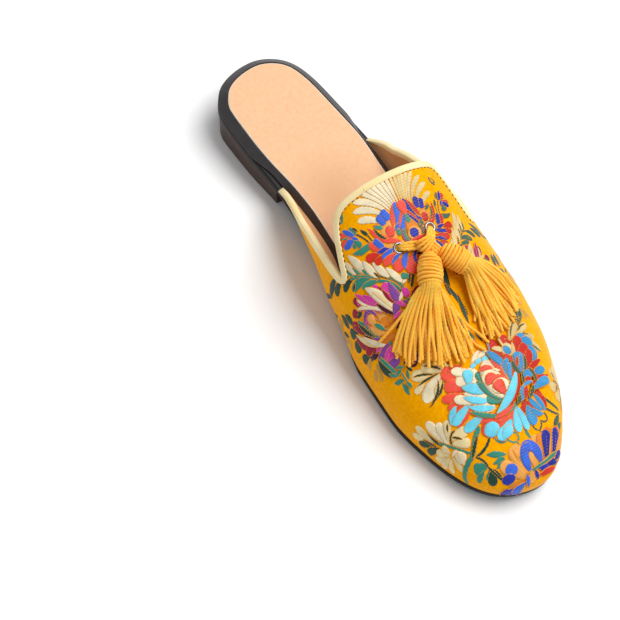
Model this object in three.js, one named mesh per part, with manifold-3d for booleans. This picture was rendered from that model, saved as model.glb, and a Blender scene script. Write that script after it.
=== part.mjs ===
// Flat slip-on mule for the left foot: brocade vamp with a bound topline, leather sock,
// bevelled black footbed rim, thin outsole, stacked low heel, two eyelets and a tasselled cord.
// Millimetres, +Z up, toe towards -Y, lateral side towards +X, floor at z = 0.
import * as THREE from 'three';
import { mergeVertices } from 'three/addons/utils/BufferGeometryUtils.js';
import Module from 'manifold-3d';

const wasm = await Module();
wasm.setup();

// Driving sizes
const LENGTH = 258;
const BALL_WIDTH = 85.2;
const INSTEP_HEIGHT = 67.5;
const HEEL_HEIGHT = 17.7;
const HEEL_LENGTH = 69;
const SOLE_THICK = 3.7;
const BED_THICK = 3.7;
const SOCK_THICK = 1.2;
const WALL = 1.8;
const SEAT_GAP = 0.3;

// The heel-to-toe line lies a little off the middle of the outline, so that the box is centred.
const AXIS_SHIFT = -2.4;

// Sole edge: half widths each side of the heel-to-toe line, as shares of the ball width,
// at shares of the length from the back of the heel
const FOOTPRINT = [
  { at: 0.00, medial: 0.000, lateral: 0.000 },
  { at: 0.04, medial: 0.298, lateral: 0.232 },
  { at: 0.09, medial: 0.359, lateral: 0.292 },
  { at: 0.17, medial: 0.346, lateral: 0.335 },
  { at: 0.30, medial: 0.300, lateral: 0.398 },
  { at: 0.42, medial: 0.289, lateral: 0.455 },
  { at: 0.55, medial: 0.382, lateral: 0.511 },
  { at: 0.66, medial: 0.468, lateral: 0.532 },
  { at: 0.76, medial: 0.474, lateral: 0.505 },
  { at: 0.85, medial: 0.428, lateral: 0.423 },
  { at: 0.92, medial: 0.357, lateral: 0.305 },
  { at: 0.97, medial: 0.252, lateral: 0.177 },
  { at: 1.00, medial: 0.000, lateral: 0.000 },
];

// Underside of the outsole: heel seat, arch, flat tread and toe spring, as shares of the heel height
const SHANK = [
  { at: 0.00, rise: 1.000 },
  { at: 0.12, rise: 0.860 },
  { at: 0.25, rise: 0.710 },
  { at: 0.35, rise: 0.486 },
  { at: 0.45, rise: 0.254 },
  { at: 0.55, rise: 0.085 },
  { at: 0.62, rise: 0.000 },
  { at: 0.80, rise: 0.000 },
  { at: 0.90, rise: 0.085 },
  { at: 1.00, rise: 0.243 },
];

// Sections of the last: ridge height as a share of the instep height, how far each wall swells
// past the sole edge, and how high over the sole edge its widest line lies, in millimetres
const SECTIONS = [
  { at: 0.20, ridge: 1.240, medialSwell: 2.0, medialWidest: 18.0, lateralSwell: 0.8, lateralWidest: 12.0 },
  { at: 0.30, ridge: 1.170, medialSwell: 4.2, medialWidest: 23.0, lateralSwell: 0.8, lateralWidest: 12.0 },
  { at: 0.40, ridge: 1.052, medialSwell: 10.0, medialWidest: 24.0, lateralSwell: 0.6, lateralWidest: 11.0 },
  { at: 0.44, ridge: 1.000, medialSwell: 11.2, medialWidest: 23.5, lateralSwell: 0.6, lateralWidest: 10.5 },
  { at: 0.50, ridge: 0.904, medialSwell: 9.8, medialWidest: 21.0, lateralSwell: 0.8, lateralWidest: 10.0 },
  { at: 0.54, ridge: 0.841, medialSwell: 7.6, medialWidest: 18.0, lateralSwell: 1.0, lateralWidest: 9.5 },
  { at: 0.60, ridge: 0.756, medialSwell: 4.6, medialWidest: 14.0, lateralSwell: 1.4, lateralWidest: 9.0 },
  { at: 0.66, ridge: 0.681, medialSwell: 2.5, medialWidest: 10.5, lateralSwell: 1.6, lateralWidest: 8.2 },
  { at: 0.76, ridge: 0.570, medialSwell: 1.4, medialWidest: 7.4, lateralSwell: 1.5, lateralWidest: 6.8 },
  { at: 0.85, ridge: 0.474, medialSwell: 1.0, medialWidest: 5.8, lateralSwell: 1.1, lateralWidest: 5.6 },
  { at: 0.92, ridge: 0.393, medialSwell: 0.8, medialWidest: 5.0, lateralSwell: 0.9, lateralWidest: 5.0 },
  { at: 0.97, ridge: 0.310, medialSwell: 0.6, medialWidest: 4.6, lateralSwell: 0.6, lateralWidest: 4.6 },
  { at: 1.00, ridge: 0.184, medialSwell: 0.0, medialWidest: 4.1, lateralSwell: 0.0, lateralWidest: 4.1 },
];

// Topline: share of the length where the upper ends, by girth (0 at the sole edge, 1 at the ridge).
// The highest share is the bottom of the notch between quarter and tongue.
const TOPLINE = {
  medial: [
    { girth: 0.000, at: 0.275 },
    { girth: 0.090, at: 0.297 },
    { girth: 0.190, at: 0.358 },
    { girth: 0.310, at: 0.450 },
    { girth: 0.410, at: 0.510 },
    { girth: 0.465, at: 0.536 },
    { girth: 0.500, at: 0.505 },
    { girth: 0.535, at: 0.470 },
    { girth: 0.590, at: 0.445 },
    { girth: 0.680, at: 0.437 },
    { girth: 1.000, at: 0.436 },
  ],
  lateral: [
    { girth: 0.000, at: 0.252 },
    { girth: 0.185, at: 0.289 },
    { girth: 0.268, at: 0.326 },
    { girth: 0.390, at: 0.401 },
    { girth: 0.470, at: 0.457 },
    { girth: 0.550, at: 0.514 },
    { girth: 0.600, at: 0.546 },
    { girth: 0.618, at: 0.515 },
    { girth: 0.635, at: 0.475 },
    { girth: 0.665, at: 0.446 },
    { girth: 0.730, at: 0.436 },
    { girth: 1.000, at: 0.436 },
  ],
};
const NOTCH_GIRTH = { medial: 0.465, lateral: 0.6 };

// Places over the vamp: girth across it, share of the length along it, height over its outer face
const EYELETS = {
  medial: { girth: -0.114, at: 0.552 },
  lateral: { girth: 0.050, at: 0.545 },
};
const KNOT = { girth: -0.004, at: 0.566, height: 4.0 };
const TASSELS = {
  a: {
    crown: { girth: -0.018, at: 0.585, height: 5.2 },
    neck: { girth: -0.080, at: 0.632, height: 7.4 },
    fan: [
      { girth: -0.412, at: 0.696 },
      { girth: -0.234, at: 0.746 },
      { girth: -0.032, at: 0.768 },
    ],
  },
  b: {
    crown: { girth: 0.026, at: 0.588, height: 5.2 },
    neck: { girth: 0.086, at: 0.628, height: 7.1 },
    fan: [
      { girth: 0.400, at: 0.700 },
      { girth: 0.158, at: 0.748 },
      { girth: 0.042, at: 0.754 },
    ],
  },
};

// Wrapped tassel head: radius along its axis, with a ridge for each wrap
const HEAD = [
  { along: 0.00, radius: 2.2 },
  { along: 0.20, radius: 4.2 },
  { along: 0.45, radius: 5.6 },
  { along: 0.75, radius: 6.0 },
  { along: 1.00, radius: 5.0 },
];
const WRAPS = 7;
const WRAP_RIDGE = 0.35;

// Tassel skirt: a draped core with a row of cords on it
const STRAND_RADIUS = 0.95;
const STRANDS = 11;
const STRAND_STEPS = 6;
const STRAND_RAGGED = 0.05;
const SKIRT_ROOT = -0.06;
const SKIRT_CORE_END = 0.86;
const SKIRT_ROOT_WIDTH = 0.22;
const SKIRT_NECK_TOP = 9.2;
const SKIRT_END_TOP = 2.8;
const SKIRT_NECK_UNDER = 3.0;
const SKIRT_UNDER = 0.6;
const SKIRT_EDGE_DROP = 0.4;
const CORE_COLUMNS = 7;
const CORE_ROWS = 6;

// Lace: knot of two crossed turns, bars of two cords
const KNOT_TURN = 1.9;
const KNOT_CORD = 1.1;
const KNOT_CORE = 2.3;
const BAR_START = 2.5;
const BAR_SPACING = 1.5;

// Eyelet: radius and height over the vamp's outer face around its section
const EYELET_SECTION = [
  { radius: 1.55, height: -WALL - 0.9 },
  { radius: 2.60, height: -WALL - 0.9 },
  { radius: 2.60, height: -WALL - 0.3 },
  { radius: 1.95, height: -WALL - 0.3 },
  { radius: 1.95, height: 0.3 },
  { radius: 2.80, height: 0.3 },
  { radius: 2.80, height: 0.7 },
  { radius: 2.30, height: 1.05 },
  { radius: 1.70, height: 0.85 },
  { radius: 1.55, height: 0.5 },
];
const EYELET_HOLE = 2.25;
const EYELET_SIDES = 12;

// Binding: an angle section, out from the upper's face and on past its cut edge
const BINDING_SECTION = [
  { out: 0.3, past: -2.6 },
  { out: 0.8, past: -2.6 },
  { out: 0.8, past: 0.8 },
  { out: -WALL, past: 0.8 },
  { out: -WALL, past: 0.3 },
  { out: 0.3, past: 0.3 },
];
const BINDING_FOOT = 0.045;
const BINDING_STEP = 2.6;
const BINDING_POINT = 1.3;

// Shape of a section: rounder than an ellipse at the sides, and how its lower wall leans out
const SIDE_ROUNDING = 2.35;
const TOP_ROUNDING = 2.1;
const LOWER_GIRTH = 0.25;
const LOWER_LEAN = THREE.MathUtils.degToRad(60);
const FEATHER_INSET = 0.2;

// Footbed rim, sock, outsole edge and heel
const RIM_LIP = 0.6;
const QUARTER_INSET = 2.7;
const QUARTER_START = 0.18;
const QUARTER_FULL = 0.25;
const WAIST_INSET = 2.6;
const WAIST_FULL = 0.41;
const RIM_BEVEL = 4.6;
const SOCK_INSET = 3.0;
const SOCK_START = 0.22;
const SOCK_FULL = 0.36;
const EDGE_ROUND = 1.0;
const EDGE_GROOVE = 0.7;
const HEEL_TOP_INSET = 0.8;
const HEEL_TAPER = 2.4;
const HEEL_SEAT_STEP = 1.4;

// How finely the forms are stepped
const SOLE_STEPS = 34;
const HEEL_STEPS = 14;
const UPPER_ROWS = 19;
const QUARTER_COLUMNS = 11;
const TONGUE_COLUMNS = 14;
const TONGUE_SPREAD = 1.6;
const SLOPE_STEP = 0.002;

// Station angles run from 0 at the heel to pi at the toe tip, so both ends stay round.
const shareOf = (angle) => (1 - Math.cos(angle)) / 2;
const angleOf = (share) => Math.acos(THREE.MathUtils.clamp(1 - 2 * share, -1, 1));

/** Smooth curve through the rows of a table that never overshoots them. */
function curveThrough(places, values) {
  const secants = places.slice(1).map((place, i) => (values[i + 1] - values[i]) / (place - places[i]));
  const slopes = places.map((_, i) => {
    const before = secants[Math.max(i - 1, 0)];
    const after = secants[Math.min(i, secants.length - 1)];
    return before * after > 0 ? (2 * before * after) / (before + after) : 0;
  });
  return (place) => {
    const x = THREE.MathUtils.clamp(place, places[0], places.at(-1));
    let i = 0;
    while (i < places.length - 2 && places[i + 1] < x) i += 1;
    const span = places[i + 1] - places[i];
    const t = (x - places[i]) / span;
    const rise = values[i] * (1 + 2 * t) * (1 - t) ** 2 + values[i + 1] * t * t * (3 - 2 * t);
    const bend = slopes[i] * t * (1 - t) ** 2 + slopes[i + 1] * t * t * (t - 1);
    return rise + span * bend;
  };
}

/** A table's column as a function of the station angle. */
function column(table, name, scale = 1) {
  return curveThrough(
    table.map((row) => angleOf(row.at)),
    table.map((row) => row[name] * scale),
  );
}

const halfWidth = {
  medial: column(FOOTPRINT, 'medial', BALL_WIDTH),
  lateral: column(FOOTPRINT, 'lateral', BALL_WIDTH),
};
const swell = {
  medial: column(SECTIONS, 'medialSwell'),
  lateral: column(SECTIONS, 'lateralSwell'),
};
const shank = curveThrough(
  SHANK.map((row) => row.at),
  SHANK.map((row) => row.rise * HEEL_HEIGHT),
);
const ridge = column(SECTIONS, 'ridge', INSTEP_HEIGHT);
const widest = {
  medial: column(SECTIONS, 'medialWidest'),
  lateral: column(SECTIONS, 'lateralWidest'),
};
const toplineEnd = Object.fromEntries(
  Object.entries(TOPLINE).map(([side, rows]) => [
    side,
    curveThrough(rows.map((row) => row.girth), rows.map((row) => angleOf(row.at))),
  ]),
);
const sideOf = (signed) => (signed < 0 ? 'medial' : 'lateral');

/** Closed geometry from corners and triangles, with shared corners joined and faces outwards. */
function closedGeometry(corners, triangles) {
  const loose = new THREE.BufferGeometry().setFromPoints(corners);
  loose.setIndex(triangles.flat());
  const merged = mergeVertices(loose, 1e-3);
  const position = merged.getAttribute('position');
  const old = merged.getIndex().array;
  let kept = [];
  let volume = 0;
  const [a, b, c] = [new THREE.Vector3(), new THREE.Vector3(), new THREE.Vector3()];
  for (let i = 0; i < old.length; i += 3) {
    const [p, q, r] = [old[i], old[i + 1], old[i + 2]];
    if (p === q || q === r || r === p) continue;
    kept.push([p, q, r]);
    a.fromBufferAttribute(position, p);
    b.fromBufferAttribute(position, q);
    c.fromBufferAttribute(position, r);
    volume += a.dot(b.cross(c));
  }
  if (volume < 0) kept = kept.map(([p, q, r]) => [p, r, q]);
  merged.setIndex(kept.flat());
  return merged;
}

/** Two triangles of a four-cornered face. */
const quad = (a, b, c, d) => [[a, b, c], [a, c, d]];

/** Solid through rings of the sole outline, capped across by a ladder of rungs. */
function stackedSolid(levels, angles) {
  const rings = levels.map((level) => [
    ...angles.map((angle) => level(-angle)),
    ...angles.toReversed().map((angle) => level(angle)),
  ]);
  const size = rings[0].length;
  const triangles = [];
  for (let k = 0; k + 1 < rings.length; k += 1) {
    for (let i = 0; i < size; i += 1) {
      const next = (i + 1) % size;
      triangles.push(...quad(k * size + i, k * size + next, (k + 1) * size + next, (k + 1) * size + i));
    }
  }
  const top = (rings.length - 1) * size;
  for (let i = 0; i + 1 < angles.length; i += 1) {
    const across = size - 1 - i;
    triangles.push(...quad(i, across, across - 1, i + 1));
    triangles.push(...quad(top + i, top + i + 1, top + across - 1, top + across));
  }
  return closedGeometry(rings.flat(), triangles);
}

/** Point on the sole edge: the turn is the station angle, negative on the medial side. */
function solePoint(turn) {
  const wrapped = Math.abs(turn) > Math.PI ? turn - Math.sign(turn) * 2 * Math.PI : turn;
  const angle = Math.abs(wrapped);
  const half = halfWidth[sideOf(wrapped)](angle);
  return new THREE.Vector2(AXIS_SHIFT + Math.sign(wrapped) * half, LENGTH * (0.5 - shareOf(angle)));
}

/** Sole edge moved inwards, square to the edge. */
function insetPoint(turn, inset) {
  const along = solePoint(turn + SLOPE_STEP).sub(solePoint(turn - SLOPE_STEP)).normalize();
  return solePoint(turn).sub(new THREE.Vector2(-along.y, along.x).multiplyScalar(inset));
}

/** A ring of the sole outline with its own inset and height over the shank line. */
function soleLevel(inset, height) {
  return (turn) => {
    const share = shareOf(Math.abs(turn));
    const flat = insetPoint(turn, typeof inset === 'function' ? inset(share) : inset);
    const under = shank(0.5 - flat.y / LENGTH);
    return new THREE.Vector3(flat.x, flat.y, under + height);
  };
}

const stations = (steps, last) => Array.from({ length: steps + 1 }, (_, i) => (last * i) / steps);

/** Thin outsole with a rounded lower edge and a groove under the rim. */
function outsole() {
  return stackedSolid(
    [
      soleLevel(EDGE_ROUND, 0),
      soleLevel(0, EDGE_ROUND),
      soleLevel(0, SOLE_THICK - EDGE_GROOVE),
      soleLevel(EDGE_GROOVE, SOLE_THICK),
    ],
    stations(SOLE_STEPS, Math.PI),
  );
}

/** Low heel block: tapered, flat underneath, its top fitted to the shank line. */
function heel() {
  const foot = (turn) => {
    const flat = insetPoint(turn, HEEL_TAPER);
    return new THREE.Vector3(flat.x, flat.y, 0);
  };
  return stackedSolid(
    [
      foot,
      soleLevel(HEEL_TOP_INSET, -SEAT_GAP - HEEL_SEAT_STEP),
      soleLevel(HEEL_TOP_INSET, -SEAT_GAP),
    ],
    stations(HEEL_STEPS, angleOf(HEEL_LENGTH / LENGTH)),
  );
}

/** How far the footbed draws in from the sole edge, to pass inside the quarters and again at the waist. */
const bedInset = (share) => QUARTER_INSET * THREE.MathUtils.smoothstep(share, QUARTER_START, QUARTER_FULL)
  + WAIST_INSET * THREE.MathUtils.smoothstep(share, QUARTER_FULL, WAIST_FULL);
/** How far the top of the rim's bevel lies in from the sole edge. */
const rimInset = (share) => RIM_BEVEL + SOCK_INSET * THREE.MathUtils.smoothstep(share, SOCK_START, SOCK_FULL);
const BED_BASE = SOLE_THICK + SEAT_GAP;
const BED_TOP = BED_BASE + BED_THICK;

/** Footbed with a bevelled rim and a shallow pocket for the sock. */
function footbed() {
  return stackedSolid(
    [
      soleLevel(bedInset, BED_BASE),
      soleLevel(bedInset, BED_BASE + RIM_LIP),
      soleLevel(rimInset, BED_TOP),
      soleLevel(rimInset, BED_TOP - SOCK_THICK - SEAT_GAP),
    ],
    stations(SOLE_STEPS, Math.PI),
  );
}

/** Leather sock, flush in the footbed's pocket. */
function sock() {
  const edge = (share) => rimInset(share) + SEAT_GAP;
  return stackedSolid(
    [soleLevel(edge, BED_TOP - SOCK_THICK), soleLevel(edge, BED_TOP)],
    stations(SOLE_STEPS, Math.PI),
  );
}

/** Outer face of the upper: girth runs from -1 (medial sole edge) over 0 (ridge) to +1. */
function upperPoint(girth, angle) {
  const side = sideOf(girth);
  const rise = 1 - Math.abs(girth);
  const foot = Math.max(halfWidth[side](angle) - FEATHER_INSET, 0);
  const out = swell[side](angle);
  const feather = shank(shareOf(angle)) + BED_BASE;
  const height = Math.max(ridge(angle) - feather, 0);
  const lower = Math.min(widest[side](angle), height);
  let across;
  let up;
  if (rise < LOWER_GIRTH) {
    const lean = LOWER_LEAN * (1 - rise / LOWER_GIRTH);
    across = foot + out * (1 - (1 - Math.cos(lean)) / (1 - Math.cos(LOWER_LEAN)));
    up = lower * (1 - Math.sin(lean) / Math.sin(LOWER_LEAN));
  } else {
    const arc = (Math.PI / 2) * Math.min((rise - LOWER_GIRTH) / (1 - LOWER_GIRTH), 1);
    across = (foot + out) * Math.max(Math.cos(arc), 0) ** (2 / SIDE_ROUNDING);
    up = lower + (height - lower) * Math.sin(arc) ** (2 / TOP_ROUNDING);
  }
  return new THREE.Vector3(
    AXIS_SHIFT + Math.sign(girth) * across,
    LENGTH * (0.5 - shareOf(angle)),
    feather + up,
  );
}

/** Outward direction of the upper's face. */
function upperNormal(girth, angle) {
  if (angle > Math.PI - SLOPE_STEP) return new THREE.Vector3(0, -1, 0);
  const low = Math.max(girth - SLOPE_STEP, -1);
  const high = Math.min(girth + SLOPE_STEP, 1);
  const around = upperPoint(high, angle).sub(upperPoint(low, angle));
  const along = upperPoint(girth, angle - SLOPE_STEP).sub(upperPoint(girth, angle + SLOPE_STEP));
  return around.cross(along).normalize();
}

/** Girths of the columns from the medial sole edge to the lateral one, at toe tip and topline. */
function upperColumns() {
  const half = (side) => [
    ...stations(QUARTER_COLUMNS, NOTCH_GIRTH[side]),
    ...stations(TONGUE_COLUMNS, 1).slice(1).map((step) =>
      THREE.MathUtils.lerp(NOTCH_GIRTH[side], 1, step ** TONGUE_SPREAD)),
  ];
  const [medial, lateral] = [half('medial'), half('lateral')];
  const tip = medial.map((rise, i) => (rise + lateral[i]) / 2);
  const columns = medial.map((rise, i) => ({ tip: tip[i] - 1, end: rise - 1 }));
  const back = lateral.map((rise, i) => ({ tip: 1 - tip[i], end: 1 - rise })).toReversed();
  return [...columns, ...back.slice(1)];
}

/** Place on a column: 0 at the toe tip, 1 at the topline. */
function columnPlace({ tip, end }, along) {
  const last = toplineEnd[sideOf(end)](1 - Math.abs(end));
  return [THREE.MathUtils.lerp(tip, end, along), THREE.MathUtils.lerp(Math.PI, last, along)];
}

/** Inner face of the upper: a wall's thickness in, with the foot turned in as far as the footbed. */
function liningPoint(girth, angle) {
  if (Math.abs(girth) < 1) return upperPoint(girth, angle).addScaledVector(upperNormal(girth, angle), -WALL);
  return soleLevel((share) => bedInset(share) - SEAT_GAP, BED_BASE)(Math.sign(girth) * angle);
}

/** Hollow upper: one wall, open underneath and at the topline. */
function upper() {
  const columns = upperColumns();
  const rows = stations(UPPER_ROWS, 1);
  const places = columns.flatMap((line) => rows.map((along) => columnPlace(line, along)));
  const outer = places.map(([girth, angle]) => upperPoint(girth, angle));
  const inner = places.map(([girth, angle]) => liningPoint(girth, angle));
  const inside = outer.length;
  const index = (c, r) => c * rows.length + r;
  const triangles = [];
  for (let c = 0; c + 1 < columns.length; c += 1) {
    for (let r = 0; r < UPPER_ROWS; r += 1) {
      const [p, q, s, t] = [index(c, r), index(c + 1, r), index(c + 1, r + 1), index(c, r + 1)];
      triangles.push(...quad(p, q, s, t), ...quad(inside + p, inside + t, inside + s, inside + q));
    }
    const [e, f] = [index(c, UPPER_ROWS), index(c + 1, UPPER_ROWS)];
    triangles.push(...quad(e, f, inside + f, inside + e));
  }
  for (let r = 0; r < UPPER_ROWS; r += 1) {
    const [p, q] = [index(0, r), index(0, r + 1)];
    const [s, t] = [index(columns.length - 1, r), index(columns.length - 1, r + 1)];
    triangles.push(...quad(p, q, inside + q, inside + p), ...quad(t, s, inside + s, inside + t));
  }
  return closedGeometry([...outer, ...inner], triangles);
}

/** Solid for joining and cutting, from a closed geometry. */
function solidOf(geometry) {
  const bare = new THREE.BufferGeometry();
  bare.setAttribute('position', geometry.getAttribute('position'));
  bare.setIndex(geometry.getIndex());
  const merged = mergeVertices(bare, 1e-3);
  return new wasm.Manifold(new wasm.Mesh({
    numProp: 3,
    vertProperties: new Float32Array(merged.getAttribute('position').array),
    triVerts: new Uint32Array(merged.getIndex().array),
  }));
}

/** Geometry of a joined or cut solid. */
function geometryOf(solid) {
  const { vertProperties, triVerts } = solid.getMesh();
  const geometry = new THREE.BufferGeometry();
  geometry.setAttribute('position', new THREE.BufferAttribute(vertProperties, 3));
  geometry.setIndex(new THREE.BufferAttribute(triVerts, 1));
  return geometry;
}

/** All the geometries fused into one. */
function fused(geometries) {
  return geometryOf(geometries.map(solidOf).reduce((whole, solid) => whole.add(solid)));
}

/** Cord along a smooth path through the points. */
function cord(points, radius, steps) {
  const corners = stations(6, 2 * Math.PI).slice(0, 6).map((turn) =>
    new THREE.Vector2(radius * Math.cos(turn), radius * Math.sin(turn)));
  const extrudePath = new THREE.CatmullRomCurve3(points);
  return new THREE.ExtrudeGeometry(new THREE.Shape(corners), { steps, bevelEnabled: false, extrudePath });
}

/** Turns a geometry's own Y axis to a direction and moves it to a place. */
function aimed(geometry, place, direction) {
  const turn = new THREE.Quaternion().setFromUnitVectors(new THREE.Vector3(0, 1, 0), direction);
  return geometry.applyQuaternion(turn).translate(place.x, place.y, place.z);
}

/** Point over the vamp's outer face. */
function overVamp({ girth, at, height = 0 }) {
  const angle = angleOf(at);
  return upperPoint(girth, angle).addScaledVector(upperNormal(girth, angle), height);
}

const outOfVamp = ({ girth, at }) => upperNormal(girth, angleOf(at));

/** Upper with its two eyelet holes. */
function piercedUpper() {
  const drills = Object.values(EYELETS).map((place) => {
    const drill = new THREE.CylinderGeometry(EYELET_HOLE, EYELET_HOLE, 6 * WALL, EYELET_SIDES);
    return solidOf(aimed(drill, overVamp(place), outOfVamp(place)));
  });
  return geometryOf(drills.reduce((whole, drill) => whole.subtract(drill), solidOf(upper())));
}

/** Eyelet: a flanged barrel through the vamp. */
function eyelet(place) {
  const section = [...EYELET_SECTION, EYELET_SECTION[0]].map((row) =>
    new THREE.Vector2(row.radius, row.height));
  return aimed(new THREE.LatheGeometry(section, EYELET_SIDES), overVamp(place), outOfVamp(place));
}

/** Corners of the topline that the binding turns at, with the face's outward direction there. */
function bindingCorners() {
  const ends = upperColumns().map(({ end }) => end);
  const foot = 1 - BINDING_FOOT;
  const isNotch = (end) => Math.abs(1 - Math.abs(end) - NOTCH_GIRTH[sideOf(end)]) < 1e-9;
  const girths = [-foot, ...ends.filter((end) => Math.abs(end) < foot), foot];
  const corners = girths.map((girth) => {
    const angle = toplineEnd[sideOf(girth)](1 - Math.abs(girth));
    return { place: upperPoint(girth, angle), out: upperNormal(girth, angle), notch: isNotch(girth) };
  });
  const notches = corners.filter((corner) => corner.notch);
  const kept = [];
  corners.forEach((corner, i) => {
    const fixed = corner.notch || i === 0 || i === corners.length - 1;
    const others = fixed ? kept.slice(-1).filter((other) => !other.notch) : [...kept.slice(-1), ...notches];
    const crowded = others.some((other) => other.place.distanceTo(corner.place) < BINDING_STEP);
    if (fixed && crowded && kept.length > 1) kept.pop();
    if (fixed || !crowded) kept.push(corner);
  });
  return kept;
}

/** Ribbon folded over the cut edge of the upper, from one quarter's foot to the other's. */
function binding() {
  const corners = bindingCorners();
  const past = corners.map(({ place, out }, i) => {
    const edgeway = (a, b) => b.place.clone().sub(a.place).cross(out).normalize();
    const before = i > 0 ? edgeway(corners[i - 1], corners[i]) : null;
    const after = i + 1 < corners.length ? edgeway(corners[i], corners[i + 1]) : null;
    const middle = (before ?? after).clone().add(after ?? before).normalize();
    return { middle: middle.negate(), stretch: 1 / Math.abs(middle.dot(after ?? before)) };
  });
  const rings = corners.map(({ place, out }, i) => BINDING_SECTION.map((row) => {
    const { middle, stretch } = past[i];
    const reach = row.past * (row.past < 0 ? Math.min(stretch, BINDING_POINT) : stretch);
    return place.clone().addScaledVector(out, row.out).addScaledVector(middle, reach);
  }));
  const size = BINDING_SECTION.length;
  const triangles = [];
  for (let k = 0; k + 1 < rings.length; k += 1) {
    for (let i = 0; i < size; i += 1) {
      const next = (i + 1) % size;
      triangles.push(...quad(k * size + i, k * size + next, (k + 1) * size + next, (k + 1) * size + i));
    }
  }
  const last = (rings.length - 1) * size;
  triangles.push(...quad(0, 5, 2, 1), ...quad(5, 4, 3, 2));
  triangles.push(...quad(last, last + 1, last + 2, last + 5), ...quad(last + 5, last + 2, last + 3, last + 4));
  return closedGeometry(rings.flat(), triangles);
}

/** Knot in the lace: two crossed turns of cord about a core. */
function laceKnot() {
  const centre = overVamp(KNOT);
  const upright = outOfVamp(KNOT);
  const leaning = upright.clone().applyAxisAngle(new THREE.Vector3(0, 1, 0), Math.PI / 3);
  const turn = () => new THREE.TorusGeometry(KNOT_TURN, KNOT_CORD, 6, 9).rotateX(Math.PI / 2);
  return fused([
    aimed(turn(), centre, upright),
    aimed(turn(), centre, leaning),
    aimed(new THREE.SphereGeometry(KNOT_CORE, 8, 5), centre, upright),
  ]);
}

/** Lace from over an eyelet to the knot: cords side by side. */
function laceBar(eyeletPlace) {
  const start = overVamp({ ...eyeletPlace, height: BAR_START });
  const knot = overVamp(KNOT);
  const towards = knot.clone().sub(start).normalize();
  const end = knot.clone().addScaledVector(towards, -KNOT_TURN - KNOT_CORD - SEAT_GAP);
  const sideways = towards.clone().cross(outOfVamp(eyeletPlace)).normalize();
  const line = (offset) => stations(2, 1).map((share) =>
    start.clone().lerp(end, share).addScaledVector(sideways, offset));
  return fused([-0.5, 0.5].map((way) => cord(line(way * BAR_SPACING), STRAND_RADIUS, 2)));
}

/** Place in a tassel's skirt: across from one side to the other, along from the neck to the ends. */
function skirtPlace({ neck, fan }, across, along) {
  const [first, middle, last] = fan;
  const [from, to] = across < 0.5 ? [first, middle] : [middle, last];
  const share = across < 0.5 ? 2 * across : 2 * across - 1;
  const width = THREE.MathUtils.lerp(SKIRT_ROOT_WIDTH, 1, along);
  const over = (key) => THREE.MathUtils.lerp(neck[key], middle[key], along)
    + (THREE.MathUtils.lerp(from[key], to[key], share) - middle[key]) * width;
  const drape = Math.max(along, 0) ** 0.7;
  const rounding = 1 - SKIRT_EDGE_DROP * (2 * across - 1) ** 2;
  return {
    girth: over('girth'),
    at: over('at'),
    height: THREE.MathUtils.lerp(SKIRT_NECK_TOP, SKIRT_END_TOP, drape) * rounding,
  };
}

/** Draped core of a tassel's skirt. */
function skirtCore(tassel) {
  const rows = stations(CORE_ROWS, 1);
  const columns = stations(CORE_COLUMNS, 1);
  const places = columns.flatMap((across) => rows.map((row) => {
    const along = THREE.MathUtils.lerp(SKIRT_ROOT, SKIRT_CORE_END, row);
    const settled = THREE.MathUtils.smoothstep(along, 0, 0.3);
    const under = THREE.MathUtils.lerp(SKIRT_NECK_UNDER, SKIRT_UNDER, settled);
    return { ...skirtPlace(tassel, across, along), under };
  }));
  const corners = [
    ...places.map((place) => overVamp(place)),
    ...places.map((place) => overVamp({ ...place, height: place.under })),
  ];
  const below = places.length;
  const index = (c, r) => c * rows.length + r;
  const triangles = [];
  for (let c = 0; c < CORE_COLUMNS; c += 1) {
    for (let r = 0; r < CORE_ROWS; r += 1) {
      const [p, q, s, t] = [index(c, r), index(c + 1, r), index(c + 1, r + 1), index(c, r + 1)];
      triangles.push(...quad(p, q, s, t), ...quad(below + p, below + t, below + s, below + q));
    }
    const [p, q, s, t] = [index(c, 0), index(c + 1, 0), index(c, CORE_ROWS), index(c + 1, CORE_ROWS)];
    triangles.push(...quad(q, p, below + p, below + q), ...quad(s, t, below + t, below + s));
  }
  for (let r = 0; r < CORE_ROWS; r += 1) {
    const [p, q] = [index(0, r), index(0, r + 1)];
    const [s, t] = [index(CORE_COLUMNS, r), index(CORE_COLUMNS, r + 1)];
    triangles.push(...quad(p, q, below + q, below + p), ...quad(t, s, below + s, below + t));
  }
  return closedGeometry(corners, triangles);
}

/** Tassel: a wrapped head on a short stem, and a skirt of cords over a draped core. */
function tassel(shape) {
  const [crown, neck, knot] = [shape.crown, shape.neck, KNOT].map(overVamp);
  const axis = neck.clone().sub(crown);
  const radius = curveThrough(HEAD.map((row) => row.along), HEAD.map((row) => row.radius));
  const section = stations(2 * WRAPS, 1).map((along, i) =>
    new THREE.Vector2(radius(along) + (i % 2 ? WRAP_RIDGE : -WRAP_RIDGE), along * axis.length()));
  const closed = [new THREE.Vector2(0, 0), ...section, new THREE.Vector2(0, axis.length())];
  const head = aimed(new THREE.LatheGeometry(closed, 12), crown, axis.clone().normalize());
  const reach = crown.clone().sub(knot).normalize();
  const stem = cord(
    [
      knot.clone().addScaledVector(reach, KNOT_TURN + KNOT_CORD + SEAT_GAP),
      crown.clone().addScaledVector(axis, 0.15),
    ],
    STRAND_RADIUS,
    2,
  );
  const strands = stations(STRANDS - 1, 1).map((across, i) => {
    const last = 1 + STRAND_RAGGED * Math.sin(2.4 * i);
    const points = stations(STRAND_STEPS, 1).map((step) =>
      overVamp(skirtPlace(shape, across, THREE.MathUtils.lerp(SKIRT_ROOT, last, step))));
    return cord(points, STRAND_RADIUS, STRAND_STEPS);
  });
  return fused([head, stem, skirtCore(shape), ...strands]);
}

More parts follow.
